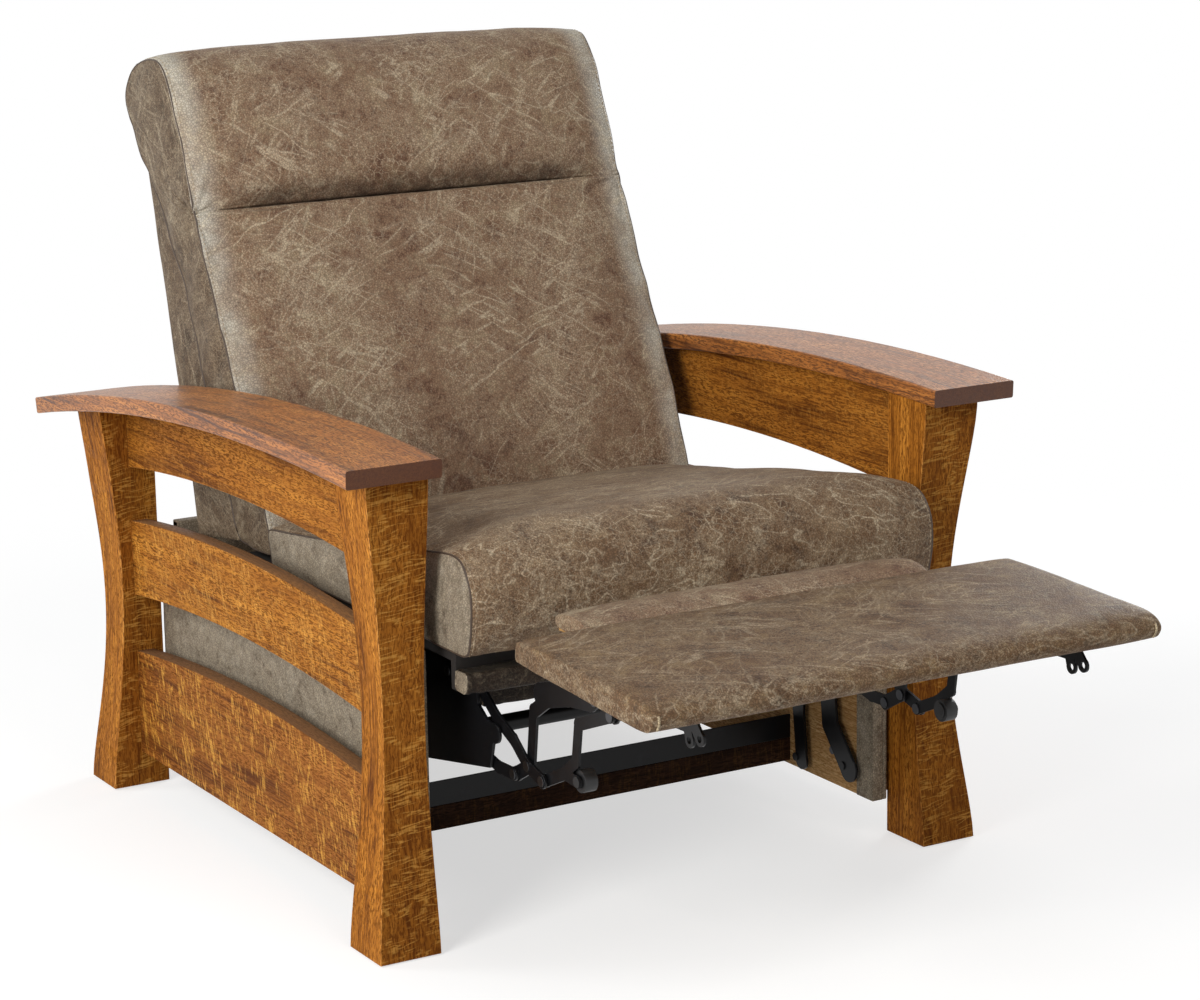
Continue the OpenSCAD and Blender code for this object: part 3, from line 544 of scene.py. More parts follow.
class Nodes:
    """Short calls for building a node tree."""

    def __init__(self, tree):
        self.tree, self.nodes, self.links = tree, tree.nodes, tree.links

    def put(self, value, target):
        if hasattr(value, "is_output"):
            self.links.new(value, target)
        elif value is not None:
            target.default_value = value

    def math(self, kind, a, b=None):
        n = self.nodes.new("ShaderNodeMath")
        n.operation = kind
        self.put(a, n.inputs[0])
        self.put(b, n.inputs[1])
        return n.outputs[0]

    def span(self, value, low, high, to_low=0.0, to_high=1.0):
        n = self.nodes.new("ShaderNodeMapRange")
        n.interpolation_type = "SMOOTHSTEP"
        for v, i in zip((value, low, high, to_low, to_high), range(5)):
            self.put(v, n.inputs[i])
        return n.outputs[0]

    def mix(self, fac, a, b):
        n = self.nodes.new("ShaderNodeMix")
        n.data_type = "RGBA"
        self.put(fac, n.inputs[0])
        self.put(a if hasattr(a, "is_output") else tuple(a) + (1.0,) * (4 - len(a)), n.inputs[6])
        self.put(b if hasattr(b, "is_output") else tuple(b) + (1.0,) * (4 - len(b)), n.inputs[7])
        return n.outputs[2]

    def noise(self, vector, scale, detail=2.0, rough=0.5, warp=0.0, colour=False):
        n = self.nodes.new("ShaderNodeTexNoise")
        self.put(vector, n.inputs["Vector"])
        self.put(scale, n.inputs["Scale"])
        n.inputs["Detail"].default_value = detail
        n.inputs["Roughness"].default_value = rough
        n.inputs["Distortion"].default_value = warp
        return n.outputs["Color" if colour else "Fac"]

    def cells(self, vector, scale):
        """Distance to the nearest border between the cells of a random net."""
        n = self.nodes.new("ShaderNodeTexVoronoi")
        n.feature = "DISTANCE_TO_EDGE"
        self.put(vector, n.inputs["Vector"])
        self.put(scale, n.inputs["Scale"])
        return n.outputs["Distance"]

    def scale(self, vector, by):
        n = self.nodes.new("ShaderNodeVectorMath")
        n.operation = "MULTIPLY"
        self.put(vector, n.inputs[0])
        n.inputs[1].default_value = by
        return n.outputs[0]

    def turn(self, vector, axis, angle):
        n = self.nodes.new("ShaderNodeVectorRotate")
        n.rotation_type = axis + "_AXIS"
        self.put(vector, n.inputs["Vector"])
        self.put(angle, n.inputs["Angle"])
        return n.outputs[0]

    def tilt(self, vector, angles):
        n = self.nodes.new("ShaderNodeVectorRotate")
        n.rotation_type = "EULER_XYZ"
        self.put(vector, n.inputs["Vector"])
        n.inputs["Rotation"].default_value = angles
        return n.outputs[0]

    def ridge(self, value, width):
        """One where a noise crosses its middle, so that it draws thin lines."""
        return self.span(self.math("ABSOLUTE", self.math("SUBTRACT", value, 0.5)), 0.0, width, 1.0, 0.0)

    def warp(self, vector, scale, by):
        """The vector, pushed about by soft noise."""
        n = self.nodes.new("ShaderNodeVectorMath")
        n.operation = "MULTIPLY_ADD"
        self.links.new(self.noise(vector, scale, 2.0, colour=True), n.inputs[0])
        n.inputs[1].default_value = (by, by, by)
        self.links.new(vector, n.inputs[2])
        return n.outputs[0]

    def axes(self, coordinate="Object"):
        """The three parts of a texture coordinate."""
        n = self.nodes.new("ShaderNodeSeparateXYZ")
        self.links.new(self.nodes.new("ShaderNodeTexCoord").outputs[coordinate], n.inputs[0])
        return n.outputs


def new_group(name, inputs, outputs):
    """A shader group, with its calls for nodes, what comes into it and what goes out of it."""
    group = bpy.data.node_groups.new(name, "ShaderNodeTree")
    for n, kind, value in inputs:
        socket(group, n, kind, value)
    for n, kind in outputs:
        socket(group, n, kind, out=True)
    start = group.nodes.new("NodeGroupInput")
    end = group.nodes.new("NodeGroupOutput")
    return group, Nodes(group), start.outputs, end.inputs


def leather_group():
    """Distressed leather: dark and rubbed patches, a net of pale creases, long scuffs and a fine pebble, with
    inputs that paint a sheen over the edges and a shade above a crease.
    """
    group, k, i, o = new_group(
        "Distressed leather",
        [("Vector", "NodeSocketVector", None), ("Base", "NodeSocketColor", (0.25, 0.18, 0.11, 1)),
         ("Dark", "NodeSocketColor", (0.1, 0.07, 0.04, 1)), ("Light", "NodeSocketColor", (0.4, 0.3, 0.2, 1)),
         ("Crease", "NodeSocketColor", (0.5, 0.4, 0.3, 1)), ("Crease Amount", "NodeSocketFloat", 0.5),
         ("Patch Scale", "NodeSocketFloat", 9.0), ("Grain Scale", "NodeSocketFloat", 330.0),
         ("Edge Sheen", "NodeSocketFloat", 0.0), ("Edge Sheen Color", "NodeSocketColor", (0.42, 0.37, 0.29, 1)),
         ("Crease Shade", "NodeSocketFloat", 0.0), ("Crease Shade Color", "NodeSocketColor", (0.04, 0.02, 0.015, 1))],
        [("Color", "NodeSocketColor"), ("Roughness", "NodeSocketFloat"), ("Height", "NodeSocketFloat")])
    v = i["Vector"]
    drift = k.warp(v, 6.0, 0.05)
    broad = k.noise(drift, i["Patch Scale"], 4.0, 0.6)
    patch = k.noise(drift, k.math("MULTIPLY", i["Patch Scale"], 3.4), 6.0, 0.68, 0.3)
    grit = k.noise(v, 120.0, 4.0, 0.65)
    tone = k.math("ADD", k.math("MULTIPLY", broad, 0.22), k.math("MULTIPLY", patch, 0.50))
    tone = k.math("ADD", tone, k.math("MULTIPLY", grit, 0.28))
    colour = k.mix(k.span(tone, 0.39, 0.49), i["Dark"], i["Base"])
    colour = k.mix(k.span(tone, 0.50, 0.60), colour, i["Light"])

    crease = None
    bent = k.warp(v, 9.0, 0.02)
    drawn = k.warp(k.warp(v, 3.0, 0.08), 16.0, 0.010)
    # Each set of strands: its angle in the plane of the leather, how fast it varies along and across, the
    # width of its lines, its strength, and the scale and the start of the patches where it shows
    strands = ((0.4, 24.0, 150.0, 0.050, 0.34, 17.0, 0.49), (-0.9, 28.0, 170.0, 0.050, 0.34, 22.0, 0.49),
               (1.5, 26.0, 160.0, 0.050, 0.34, 27.0, 0.49), (0.55, 4.2, 30.0, 0.030, 0.85, 8.0, 0.45),
               (-0.5, 3.8, 27.0, 0.028, 0.88, 9.0, 0.46), (1.15, 5.4, 40.0, 0.034, 0.62, 10.0, 0.49),
               (-1.2, 4.6, 34.0, 0.030, 0.68, 7.0, 0.49), (0.05, 5.0, 36.0, 0.030, 0.60, 11.0, 0.50),
               (-0.85, 4.4, 32.0, 0.028, 0.70, 6.0, 0.48))
    for angle, along, across, width, strength, spots, start in strands:
        path = bent if along > 10 else drawn
        strand = k.noise(k.scale(k.tilt(path, (0, 0, angle)), (along, across, across)), 1.0, 2.0, 0.5)
        hair = k.ridge(strand, width)
        if path is drawn:
            haze = k.math("MULTIPLY", k.ridge(strand, width * 3.0), 0.24)
            hair = k.math("MAXIMUM", hair, haze)
        where = k.span(k.noise(v, spots, 3.0, 0.65), start, start + 0.11)
        hair = k.math("MULTIPLY", hair, k.math("MULTIPLY", where, strength))
        crease = hair if crease is None else k.math("MAXIMUM", crease, hair)
    net = k.span(k.cells(k.warp(v, 50.0, 0.003), 95.0), 0.0, 0.085, 1.0, 0.0)
    net = k.math("MULTIPLY", net, k.span(k.noise(v, 13.0, 3.0, 0.6), 0.40, 0.58))
    mesh = k.span(k.cells(k.warp(v, 90.0, 0.002), 180.0), 0.0, 0.13, 1.0, 0.0)
    mesh = k.math("MULTIPLY", mesh, k.span(k.noise(v, 10.0, 3.0, 0.6), 0.38, 0.60))
    net = k.math("MAXIMUM", k.math("MULTIPLY", net, 0.62), k.math("MULTIPLY", mesh, 0.46))
    crease = k.math("MAXIMUM", crease, net)
    rubbed = k.math("MULTIPLY", crease, k.span(k.noise(v, 260.0, 3.0, 0.6), 0.28, 0.55))
    amount = k.math("MULTIPLY", rubbed, i["Crease Amount"])
    # Painted sheen: a pale grey tone laid over the masked edges.
    pale = k.math("MULTIPLY", i["Edge Sheen"], k.span(k.noise(drift, 14.0, 4.0, 0.6), 0.30, 0.60, 0.35, 1.0))
    colour = k.mix(pale, colour, i["Edge Sheen Color"])
    colour = k.mix(amount, colour, i["Crease"])
    # Painted shade: a dark brown laid just above a crease.
    crease_shade = k.math("MULTIPLY", i["Crease Shade"], k.span(k.noise(v, 40.0, 3.0, 0.6), 0.30, 0.70, 0.55, 1.0))
    colour = k.mix(crease_shade, colour, i["Crease Shade Color"])

    pebble = k.cells(k.warp(v, 300.0, 0.0012), i["Grain Scale"])
    valley = k.span(pebble, 0.0, 0.24, 1.0, 0.0)
    dust = k.noise(v, 900.0, 2.0, 0.6)
    shade = k.math("SUBTRACT", 1.0, k.math("MULTIPLY", valley, 0.42))
    shade = k.math("MULTIPLY", shade, k.span(dust, 0.2, 0.8, 0.88, 1.12))
    dark = k.nodes.new("ShaderNodeVectorMath")
    dark.operation = "SCALE"
    k.links.new(colour, dark.inputs[0])
    k.links.new(shade, dark.inputs["Scale"])
    k.links.new(dark.outputs[0], o["Color"])
    rough = k.math("ADD", 0.48, k.math("MULTIPLY", k.noise(v, 60.0, 3.0), 0.14))
    rough = k.math("ADD", rough, k.math("MULTIPLY", amount, 0.10))
    k.links.new(rough, o["Roughness"])
    height = k.math("SUBTRACT", k.math("MULTIPLY", k.span(pebble, 0.0, 0.3), 0.55),
                    k.math("MULTIPLY", crease, 0.4))
    height = k.math("ADD", height, k.math("MULTIPLY", k.noise(bent, 110.0, 5.0, 0.65), 0.7))
    k.links.new(height, o["Height"])
    return group


def oak_group():
    """Quarter-sawn oak. The grain runs along Z of the vector, and the rays along X."""
    group, k, i, o = new_group(
        "Quarter-sawn oak",
        [("Vector", "NodeSocketVector", None), ("Mid", "NodeSocketColor", (0.3, 0.12, 0.02, 1)),
         ("Dark", "NodeSocketColor", (0.1, 0.03, 0.01, 1)), ("Light", "NodeSocketColor", (0.5, 0.2, 0.05, 1)),
         ("Fleck", "NodeSocketColor", (0.6, 0.35, 0.1, 1)), ("Fleck Amount", "NodeSocketFloat", 0.6),
         ("Fleck Tilt", "NodeSocketFloat", 0.0), ("Fleck Length", "NodeSocketFloat", 1.0),
         ("Fleck Width", "NodeSocketFloat", 1.0), ("Face", "NodeSocketFloat", 1.0),
         ("End", "NodeSocketFloat", 0.0), ("End Grain And Painted Light Color", "NodeSocketColor", (0.1, 0.03, 0.01, 1))],
        [("Color", "NodeSocketColor"), ("Roughness", "NodeSocketFloat"), ("Height", "NodeSocketFloat")])
    v = k.warp(i["Vector"], 3.0, 0.010)
    streak = k.noise(k.scale(v, (260.0, 260.0, 9.0)), 1.0, 4.0, 0.65)
    band = k.noise(k.scale(v, (90.0, 90.0, 2.4)), 1.0, 4.0, 0.6)
    broad = k.noise(k.scale(v, (16.0, 16.0, 3.0)), 1.0, 3.0, 0.5)
    tone = k.math("ADD", k.math("MULTIPLY", streak, 0.40), k.math("MULTIPLY", band, 0.35))
    tone = k.math("ADD", tone, k.math("MULTIPLY", broad, 0.25))
    colour = k.mix(k.span(tone, 0.38, 0.51), i["Dark"], i["Mid"])
    colour = k.mix(k.span(tone, 0.49, 0.62), colour, i["Light"])

    wave = k.warp(k.warp(k.turn(i["Vector"], "Y", i["Fleck Tilt"]), 9.0, 0.012), 45.0, 0.0050)
    parts = k.nodes.new("ShaderNodeSeparateXYZ")
    k.links.new(wave, parts.inputs[0])
    placed = k.nodes.new("ShaderNodeCombineXYZ")
    rates = (k.math("DIVIDE", 24.0, i["Fleck Length"]), 30.0, k.math("DIVIDE", 165.0, i["Fleck Width"]))
    for part, rate, target in zip(parts.outputs, rates, placed.inputs):
        k.links.new(k.math("MULTIPLY", part, rate), target)
    ray = k.noise(placed.outputs[0], 1.0, 1.0, 0.4)
    line = k.math("MAXIMUM", k.ridge(ray, 0.062), k.span(ray, 0.66, 0.72))
    spots = k.noise(k.scale(wave, (26.0, 26.0, 34.0)), 1.0, 3.0, 0.6)
    line = k.math("MULTIPLY", line, k.span(spots, 0.40, 0.53))
    comb = k.span(k.noise(k.scale(v, (780.0, 780.0, 60.0)), 1.0, 2.0, 0.6), 0.34, 0.56, 0.62, 1.0)
    fleck = k.math("MULTIPLY", k.math("MULTIPLY", line, comb),
                   k.math("MULTIPLY", i["Fleck Amount"], i["Face"]))
    colour = k.mix(fleck, colour, i["Fleck"])
    ticks = k.noise(k.scale(k.warp(v, 30.0, 0.003), (560.0, 560.0, 105.0)), 1.0, 2.0, 0.6)
    pore = k.math("MULTIPLY", k.span(ticks, 0.48, 0.56), k.span(band, 0.38, 0.60, 0.60, 1.0))
    pore = k.math("MULTIPLY", pore, k.math("SUBTRACT", 1.0, k.math("MULTIPLY", fleck, 0.7)))
    colour = k.mix(k.math("MULTIPLY", pore, 0.80), colour, i["Dark"])
    # End grain darkens here; the same input also paints shade and sheen on chosen faces.
    colour = k.mix(i["End"], colour, i["End Grain And Painted Light Color"])
    k.links.new(colour, o["Color"])
    rough = k.math("ADD", 0.42, k.math("MULTIPLY", streak, 0.14))
    rough = k.math("ADD", rough, k.math("MULTIPLY", pore, 0.15))
    rough = k.math("SUBTRACT", rough, k.math("MULTIPLY", fleck, 0.10))
    k.links.new(rough, o["Roughness"])
    height = k.math("SUBTRACT", k.math("MULTIPLY", streak, 0.3), k.math("MULTIPLY", pore, 0.8))
    k.links.new(height, o["Height"])
    return group


def wear_group():
    """Smudges and small dull marks for painted and plated metal."""
    group, k, i, o = new_group(
        "Metal wear",
        [("Vector", "NodeSocketVector", None), ("Clean", "NodeSocketColor", (0.02, 0.02, 0.02, 1)),
         ("Rubbed", "NodeSocketColor", (0.1, 0.1, 0.1, 1)), ("Roughness", "NodeSocketFloat", 0.4)],
        [("Color", "NodeSocketColor"), ("Roughness", "NodeSocketFloat"), ("Height", "NodeSocketFloat")])
    v = i["Vector"]
    smudge = k.noise(v, 38.0, 5.0, 0.6)
    speck = k.noise(v, 620.0, 3.0, 0.7)
    rub = k.math("MAXIMUM", k.math("MULTIPLY", k.span(smudge, 0.52, 0.74), 0.5), k.span(speck, 0.66, 0.74))
    k.links.new(k.mix(rub, i["Clean"], i["Rubbed"]), o["Color"])
    change = k.math("MULTIPLY", k.math("SUBTRACT", smudge, 0.5), 0.25)
    k.links.new(k.math("ADD", i["Roughness"], change), o["Roughness"])
    height = k.math("ADD", k.math("MULTIPLY", speck, 0.4), k.math("MULTIPLY", smudge, 0.2))
    k.links.new(height, o["Height"])
    return group


GROUPS = {}
MATERIALS = {}


def group_named(name, make):
    """The shader group of this name, made at its first use."""
    if name not in GROUPS:
        GROUPS[name] = make()
    return GROUPS[name]


def material(name, make_group, group_name, values, bump, depth, shader, turn=None, shift=None,
             faces=None, ends=None, masks=None):
    """A Principled material whose colour, roughness and bump come from one of the shader groups.

    faces gives inputs of the group that are one on the sides square to an axis and zero elsewhere,
    ends gives inputs that grow from one distance to another from the middle plane of the chair, and
    masks gives inputs that a function makes from nodes of its own.
    """
    if name in MATERIALS:
        return MATERIALS[name]
    m = bpy.data.materials.new(name)
    m.use_nodes = True
    k = Nodes(m.node_tree)
    principled = k.nodes["Principled BSDF"]
    where = k.nodes.new("ShaderNodeTexCoord").outputs["Object"]
    if turn or shift:
        n = k.nodes.new("ShaderNodeMapping")
        k.links.new(where, n.inputs["Vector"])
        n.inputs["Rotation"].default_value = turn or (0, 0, 0)
        n.inputs["Location"].default_value = shift or (0, 0, 0)
        where = n.outputs[0]
    g = k.nodes.new("ShaderNodeGroup")
    g.node_tree = group_named(group_name, make_group)
    k.links.new(where, g.inputs["Vector"])
    for key, value in values.items():
        s = g.inputs[key]
        s.default_value = tuple(value) + (1.0,) if s.type == "RGBA" and len(value) == 3 else value
    for key, (axis, most) in (faces or {}).items():
        square = k.span(k.math("ABSOLUTE", k.axes("Normal")[axis]), 0.6, 0.85, 0.0, most)
        k.links.new(square, g.inputs[key])
    for key, (start, stop, most) in (ends or {}).items():
        apart = k.math("ABSOLUTE", k.axes()[0])
        k.links.new(k.span(apart, start, stop, 0.0, most), g.inputs[key])
    for key, make_mask in (masks or {}).items():
        k.links.new(make_mask(k), g.inputs[key])
    k.links.new(g.outputs["Color"], principled.inputs["Base Color"])
    k.links.new(g.outputs["Roughness"], principled.inputs["Roughness"])
    b = k.nodes.new("ShaderNodeBump")
    b.inputs["Strength"].default_value = bump
    b.inputs["Distance"].default_value = depth
    k.links.new(g.outputs["Height"], b.inputs["Height"])
    k.links.new(b.outputs["Normal"], principled.inputs["Normal"])
    for key, value in shader.items():
        principled.inputs[key].default_value = value
    MATERIALS[name] = m
    return m


def leather(name="leather", base=None, dark=None, light=None, creases=0.70, turn=None, shift=None,
            patch=9.0, sheen=0.03, gloss=0.12, ends=None, masks=None):
    """Leather in its own tones. creases is the strength of the pale lines, patch the scale of the patches."""
    c = bpy.context.scene.recliner_colours
    return material(name, leather_group, "leather",
                    {"Base": tuple(base or c.leather_base), "Dark": tuple(dark or c.leather_dark),
                     "Light": tuple(light or c.leather_light), "Crease": tuple(c.leather_vein),
                     "Crease Amount": creases, "Patch Scale": patch, "Grain Scale": 270.0,
                     # The pale grey-beige paints a sheen over the long edges of the back, and the dark brown
                     # paints shade above its crease.
                     "Edge Sheen Color": srgb(207, 203, 190), "Crease Shade Color": srgb(50, 36, 28)},
                    turn=turn, shift=shift, bump=0.5, depth=0.0008, ends=ends, masks=masks,
                    shader={"Specular IOR Level": gloss, "Sheen Weight": sheen, "Sheen Roughness": 0.45,
                            "Sheen Tint": (0.88, 0.93, 0.84, 1.0)})


def painted_crease_shade(k):
    """A mask of painted shade, one just above the crease of the back where the head roll shades it, and
    fading upwards and towards the seams.
    """
    c, s = math.cos(math.radians(RAKE)), math.sin(math.radians(RAKE))
    place = k.axes()
    y = k.math("SUBTRACT", place[1], HINGE[0] * MM + SHIFT)
    z = k.math("SUBTRACT", place[2], HINGE[1] * MM)
    up = k.math("ADD", k.math("MULTIPLY", y, s), k.math("MULTIPLY", z, c))
    depth = k.math("SUBTRACT", k.math("MULTIPLY", y, c), k.math("MULTIPLY", z, s))
    shade = k.math("MULTIPLY", k.span(up, (CREASE + 1) * MM, (CREASE + 40) * MM, 0.85, 0.0),
                   k.span(up, (CREASE - 3) * MM, CREASE * MM))
    shade = k.math("MULTIPLY", shade, k.span(depth, -0.09, -0.05, 1.0, 0.0))
    return k.math("MULTIPLY", shade, k.span(k.math("ABSOLUTE", place[0]), 0.22, 0.33, 1.0, 0.0))


def back_leather():
    """The leather of the back, with a painted sheen over its long edges and a painted shade just above the
    crease.
    """
    return leather("leather_back", turn=(math.radians(RAKE - 90), 0, 0),
                   ends={"Edge Sheen": (0.298, 0.342, 0.80)}, masks={"Crease Shade": painted_crease_shade})


def seat_leather():
    # A darker copy of the leather for the seat: painted shade.
    return leather("leather_seat_painted_shade", base=srgb(115, 89, 66), dark=srgb(82, 59, 44), light=srgb(139, 115, 89))


def rest_leather():
    # A darker copy of the leather for the footrest: painted shade.
    return leather("leather_rest_painted_shade", base=srgb(105, 80, 58), dark=srgb(76, 55, 40), light=srgb(128, 104, 76),
                   creases=0.46, gloss=0.08, sheen=0.0)


def side_leather():
    # A lighter, greyer copy of the leather for the boxed sides: painted sheen.
    c = bpy.context.scene.recliner_colours
    return leather("leather_side_painted_sheen", base=c.side_base, dark=srgb(106, 93, 79), light=srgb(160, 149, 132),
                   creases=0.30, patch=14.0, turn=(0, QUARTER, 0), shift=(0.3, 0.2, 0.1))


def back_side_leather():
    # A darker copy of the side leather for the sides of the back: painted shade.
    return leather("leather_back_side_painted_shade", base=srgb(97, 79, 62), dark=srgb(70, 55, 42),
                   light=srgb(120, 103, 83), creases=0.45, patch=12.0, turn=(0, QUARTER, 0),
                   shift=(0.1, 0.4, 0.2))


def seam_shade_leather():
    # A darker brown for the welts and seam cords: painted shade along the seams.
    return plain("leather_seam_painted_shade", (62, 48, 37), (90, 73, 57), 0.6)


def oak(name, turn, tilt=0.0, amount=0.62, length=1.0, width=1.0, mid=None, dark=None, light=None,
        fleck=None, face=None, end=None, end_grain_and_light_colour=None, gloss=0.035, coat=0.0):
    """Stained oak. tilt, amount, length and width shape the ray flecks, which show on the sides square to
    the axis face. end gives an axis and the share of the end colour on the sides square to it: the end grain
    of the armrests, a painted shade on the fronts and backs of the posts, and a painted sheen on the tops of
    the rails."""
    c = bpy.context.scene.recliner_colours
    faces = {}
    if face is not None:
        faces["Face"] = (face, 1.0)
    if end is not None:
        faces["End"] = end
    return material(name, oak_group, "oak",
                    {"Mid": tuple(mid or c.oak_mid), "Dark": tuple(dark or c.oak_dark),
                     "Light": tuple(light or c.oak_light), "Fleck": tuple(fleck or c.oak_fleck),
                     "Fleck Amount": amount, "Fleck Tilt": tilt, "Fleck Length": length, "Fleck Width": width,
                     "End Grain And Painted Light Color": tuple(end_grain_and_light_colour or dark or c.oak_dark)},
                    turn=turn, bump=0.35, depth=0.0004, faces=faces,
                    shader={"Specular IOR Level": gloss, "Coat Weight": coat, "Coat Roughness": 0.28})


def painted_steel():
    c = bpy.context.scene.recliner_colours
    return material("black_steel", wear_group, "wear",
                    {"Clean": tuple(c.steel), "Rubbed": srgb(27, 28, 31), "Roughness": 0.36},
                    bump=0.12, depth=0.0003, shader={"Specular IOR Level": 0.22})


def zinc():
    return material("pins", wear_group, "wear",
                    {"Clean": srgb(92, 93, 96), "Rubbed": srgb(60, 60, 62), "Roughness": 0.34},
                    bump=0.1, depth=0.0002, shader={"Metallic": 1.0})


def plain(name, base, rubbed, roughness, **shader):
    """A plain finish with smudges and rubbed spots."""
    return material(name, wear_group, "wear",
                    {"Clean": srgb(*base), "Rubbed": srgb(*rubbed), "Roughness": roughness},
                    bump=0.1, depth=0.0003, shader=shader)


def dress(node, main, edge=None, width=None):
    """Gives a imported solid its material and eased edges, and leaves its points as they are."""
    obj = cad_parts[node]
    mesh = obj.data
    if not mesh.materials:
        mesh.materials.append(main)
    for s in obj.material_slots:
        s.link = "OBJECT"
        s.material = main
    if width:
        weld = obj.modifiers.new("Joined", "WELD")
        weld.merge_threshold = 1e-5
        bevel = obj.modifiers.new("Eased", "BEVEL")
        bevel.width = width
        bevel.segments = 2
        bevel.limit_method = "ANGLE"
        bevel.angle_limit = math.radians(30)
        bevel.harden_normals = True
        bevel.use_clamp_overlap = True
        if edge is not None:
            if len(obj.material_slots) < 2:
                mesh.materials.append(edge)
            obj.material_slots[1].link = "OBJECT"
            obj.material_slots[1].material = edge
            bevel.material = 1
    return obj


# Outlines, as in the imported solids

def seat_corners(bow, rise):
    return [[52, SEAT_Z, 6], [-100, SEAT_Z, 40], [-300, SEAT_Z, 40], [SEAT_FRONT + 4, SEAT_Z, 16],
            [SEAT_FRONT - 8 - bow, SEAT_Z + 48, 30],
            [SEAT_FRONT - 6 - bow, SEAT_Z + 96 + rise / 2, 30],
            [SEAT_FRONT + 22, SEAT_Z + SEAT_FRONT_H + rise, 40],
            [-300, SEAT_Z + SEAT_FRONT_H * 0.79 + rise, 60],
            [-100, SEAT_Z + SEAT_FRONT_H * 0.54 + rise * 0.9, 60],
            [62, SEAT_Z + SEAT_REAR_H + rise * 0.5, 14]]


def rear_of_back(w):
    return 98 + (170 - w) * 0.2 if w < 170 else 98 - (w - 170) * 0.142


def back_corners(rise, sink, roll, fall):
    return [[-131, 14, 14], [-138 - rise * 0.5, 62, 40], [-132 - rise, 240, 60], [-116 - rise, 400, 50],
            [-110 - rise * 0.8, CREASE - 3, 7], [-109 + sink, CREASE, 2],
            [-110 - roll * 0.1, CREASE + 2, 4], [-112 - roll, CREASE + 38, 40],
            [-111 - roll * 0.7, CREASE + 155, 50], [-101, BACK_LEN - 34 - fall, 30],
            [-50, BACK_LEN - 14 - fall, 40],
            [8, BACK_LEN - 8 - fall, 30], [50, BACK_LEN - 34 - fall, 24], [56, BACK_LEN - 64 - fall, 24],
            [46, BACK_LEN - 104, 20], [rear_of_back(640) + 3, 641, 6], [FRAME_V + 36, 585, 8],
            [FRAME_V - 0.3, 430, 1], [FRAME_V - 0.3, 330, 10], [FRAME_V - 0.3, 230, 10],
            [FRAME_V - 0.3, 120, 10], [FRAME_V - 0.3, 56, 8]]


def rest_corners(bow, rise):
    return [[bow / 2, 2, 5], [-REST_LEN * 0.2, 0, 20], [-REST_LEN * 0.6, 0, 20], [-REST_LEN * 0.9, 0, 10],
            [-REST_LEN + 9 - bow / 2, 2, 8], [-REST_LEN - bow, REST_T - 15 + rise / 3, 14],
            [-REST_LEN * 0.93, REST_T - 3 + rise * 0.8, 26], [-REST_LEN * 0.6, REST_T - 3 + rise, 40],
            [-REST_LEN * 0.2, REST_T - 4 + rise * 0.9, 30], [-1 + bow, REST_T - 7 + rise / 3, 10]]


def middle_pad_corners(cut, thin):
    y, z = REST_AT[0] + 8, REST_AT[1] + 5
    return [[y + FLIP_LEN - 2 - cut, z + 4, 6], [y + FLIP_LEN - 40 - cut * 0.5, z, 12], [y + 28, z, 12],
            [y + 5, z + 3, 5], [y, z + 13 - thin * 0.5, 8], [y + 26, z + FLIP_T - 2 - thin, 16],
            [y + FLIP_LEN - 40 - cut * 0.5, z + FLIP_T - thin, 20],
            [y + FLIP_LEN - cut, z + FLIP_T - 8 - thin, 10]]


def bar_corners(y0, y1, z0, z1, d):
    """A bar between two corners, with its edges eased by d."""
    m = (y0 + y1) / 2
    return [[y1, z0, d], [m + 2, z0, d], [m - 2, z0, d], [y0, z0, d],
            [y0, z1, d], [m - 2, z1, d], [m + 2, z1, d], [y1, z1, 2]]


# Operators, one for each piece or group of like pieces

class PieceOperator:
    """Makes or dresses some pieces with the sizes and colours set in the scene"""
    bl_options = {"REGISTER", "UNDO"}

    def execute(self, context):
        self.make(context.scene.recliner_sizes)
        return {"FINISHED"}


class RECLINER_OT_side_frames(PieceOperator, bpy.types.Operator):
    """Dresses the posts, rails, slats and armrests in quarter-sawn oak"""
    bl_idname = "recliner.side_frames"
    bl_label = "Side frames"

    def make(self, sizes):
        # end here darkens the sides of the posts that face forwards and backwards: painted shade.
        post = oak("oak_post", None, tilt=0.10, amount=0.95, length=1.3, face=1, end=(1, 0.46))
        tones = {"mid": srgb(154, 96, 34), "dark": srgb(82, 43, 14), "light": srgb(182, 120, 46)}
        along = (QUARTER, 0, QUARTER)
        # The tops of the rails and slats take a greyer brown: a painted sheen.
        top = {"end": (2, 0.65), "end_grain_and_light_colour": srgb(116, 90, 68)}
        upper = oak("oak_upper_rail", along, tilt=0.42, amount=0.18, length=0.6, face=0, **tones, **top)
        rail = oak("oak_slat", along, tilt=0.36, amount=0.65, length=1.0, width=0.5, face=0, **tones, **top)
        low = oak("oak_lower_slat", along, tilt=0.30, amount=0.85, length=1.2, width=1.4, face=0, **top,
                  mid=srgb(144, 88, 36), dark=srgb(82, 43, 16), light=srgb(166, 108, 48),
                  fleck=srgb(206, 150, 64))
        arm = oak("oak_arm", (QUARTER, 0, 0), tilt=0.5, amount=0.34, length=0.6, width=0.8, face=2,
                  end=(1, 0.92), mid=srgb(164, 100, 42), dark=srgb(66, 32, 12), light=srgb(190, 124, 58),
                  fleck=srgb(214, 160, 96), gloss=0.3, coat=0.35)
        # The eased edges of the oak take a lighter oak: a painted highlight.
        edge = oak("oak_edge_highlight", None, amount=0.1, mid=srgb(178, 116, 50), light=srgb(206, 148, 80))
        for side in ("left", "right"):
            for node in ("post_front_", "post_rear_"):
                dress(node + side, post, edge, sizes.arris)
            dress("upper_rail_" + side, upper, edge, sizes.arris)
            dress("middle_slat_" + side, rail, edge, sizes.arris)
            dress("lower_slat_" + side, low, edge, sizes.arris)
            dress("armrest_" + side, arm)
        dress("foot_glides", plain("glide", (46, 44, 42), (70, 68, 66), 0.6))


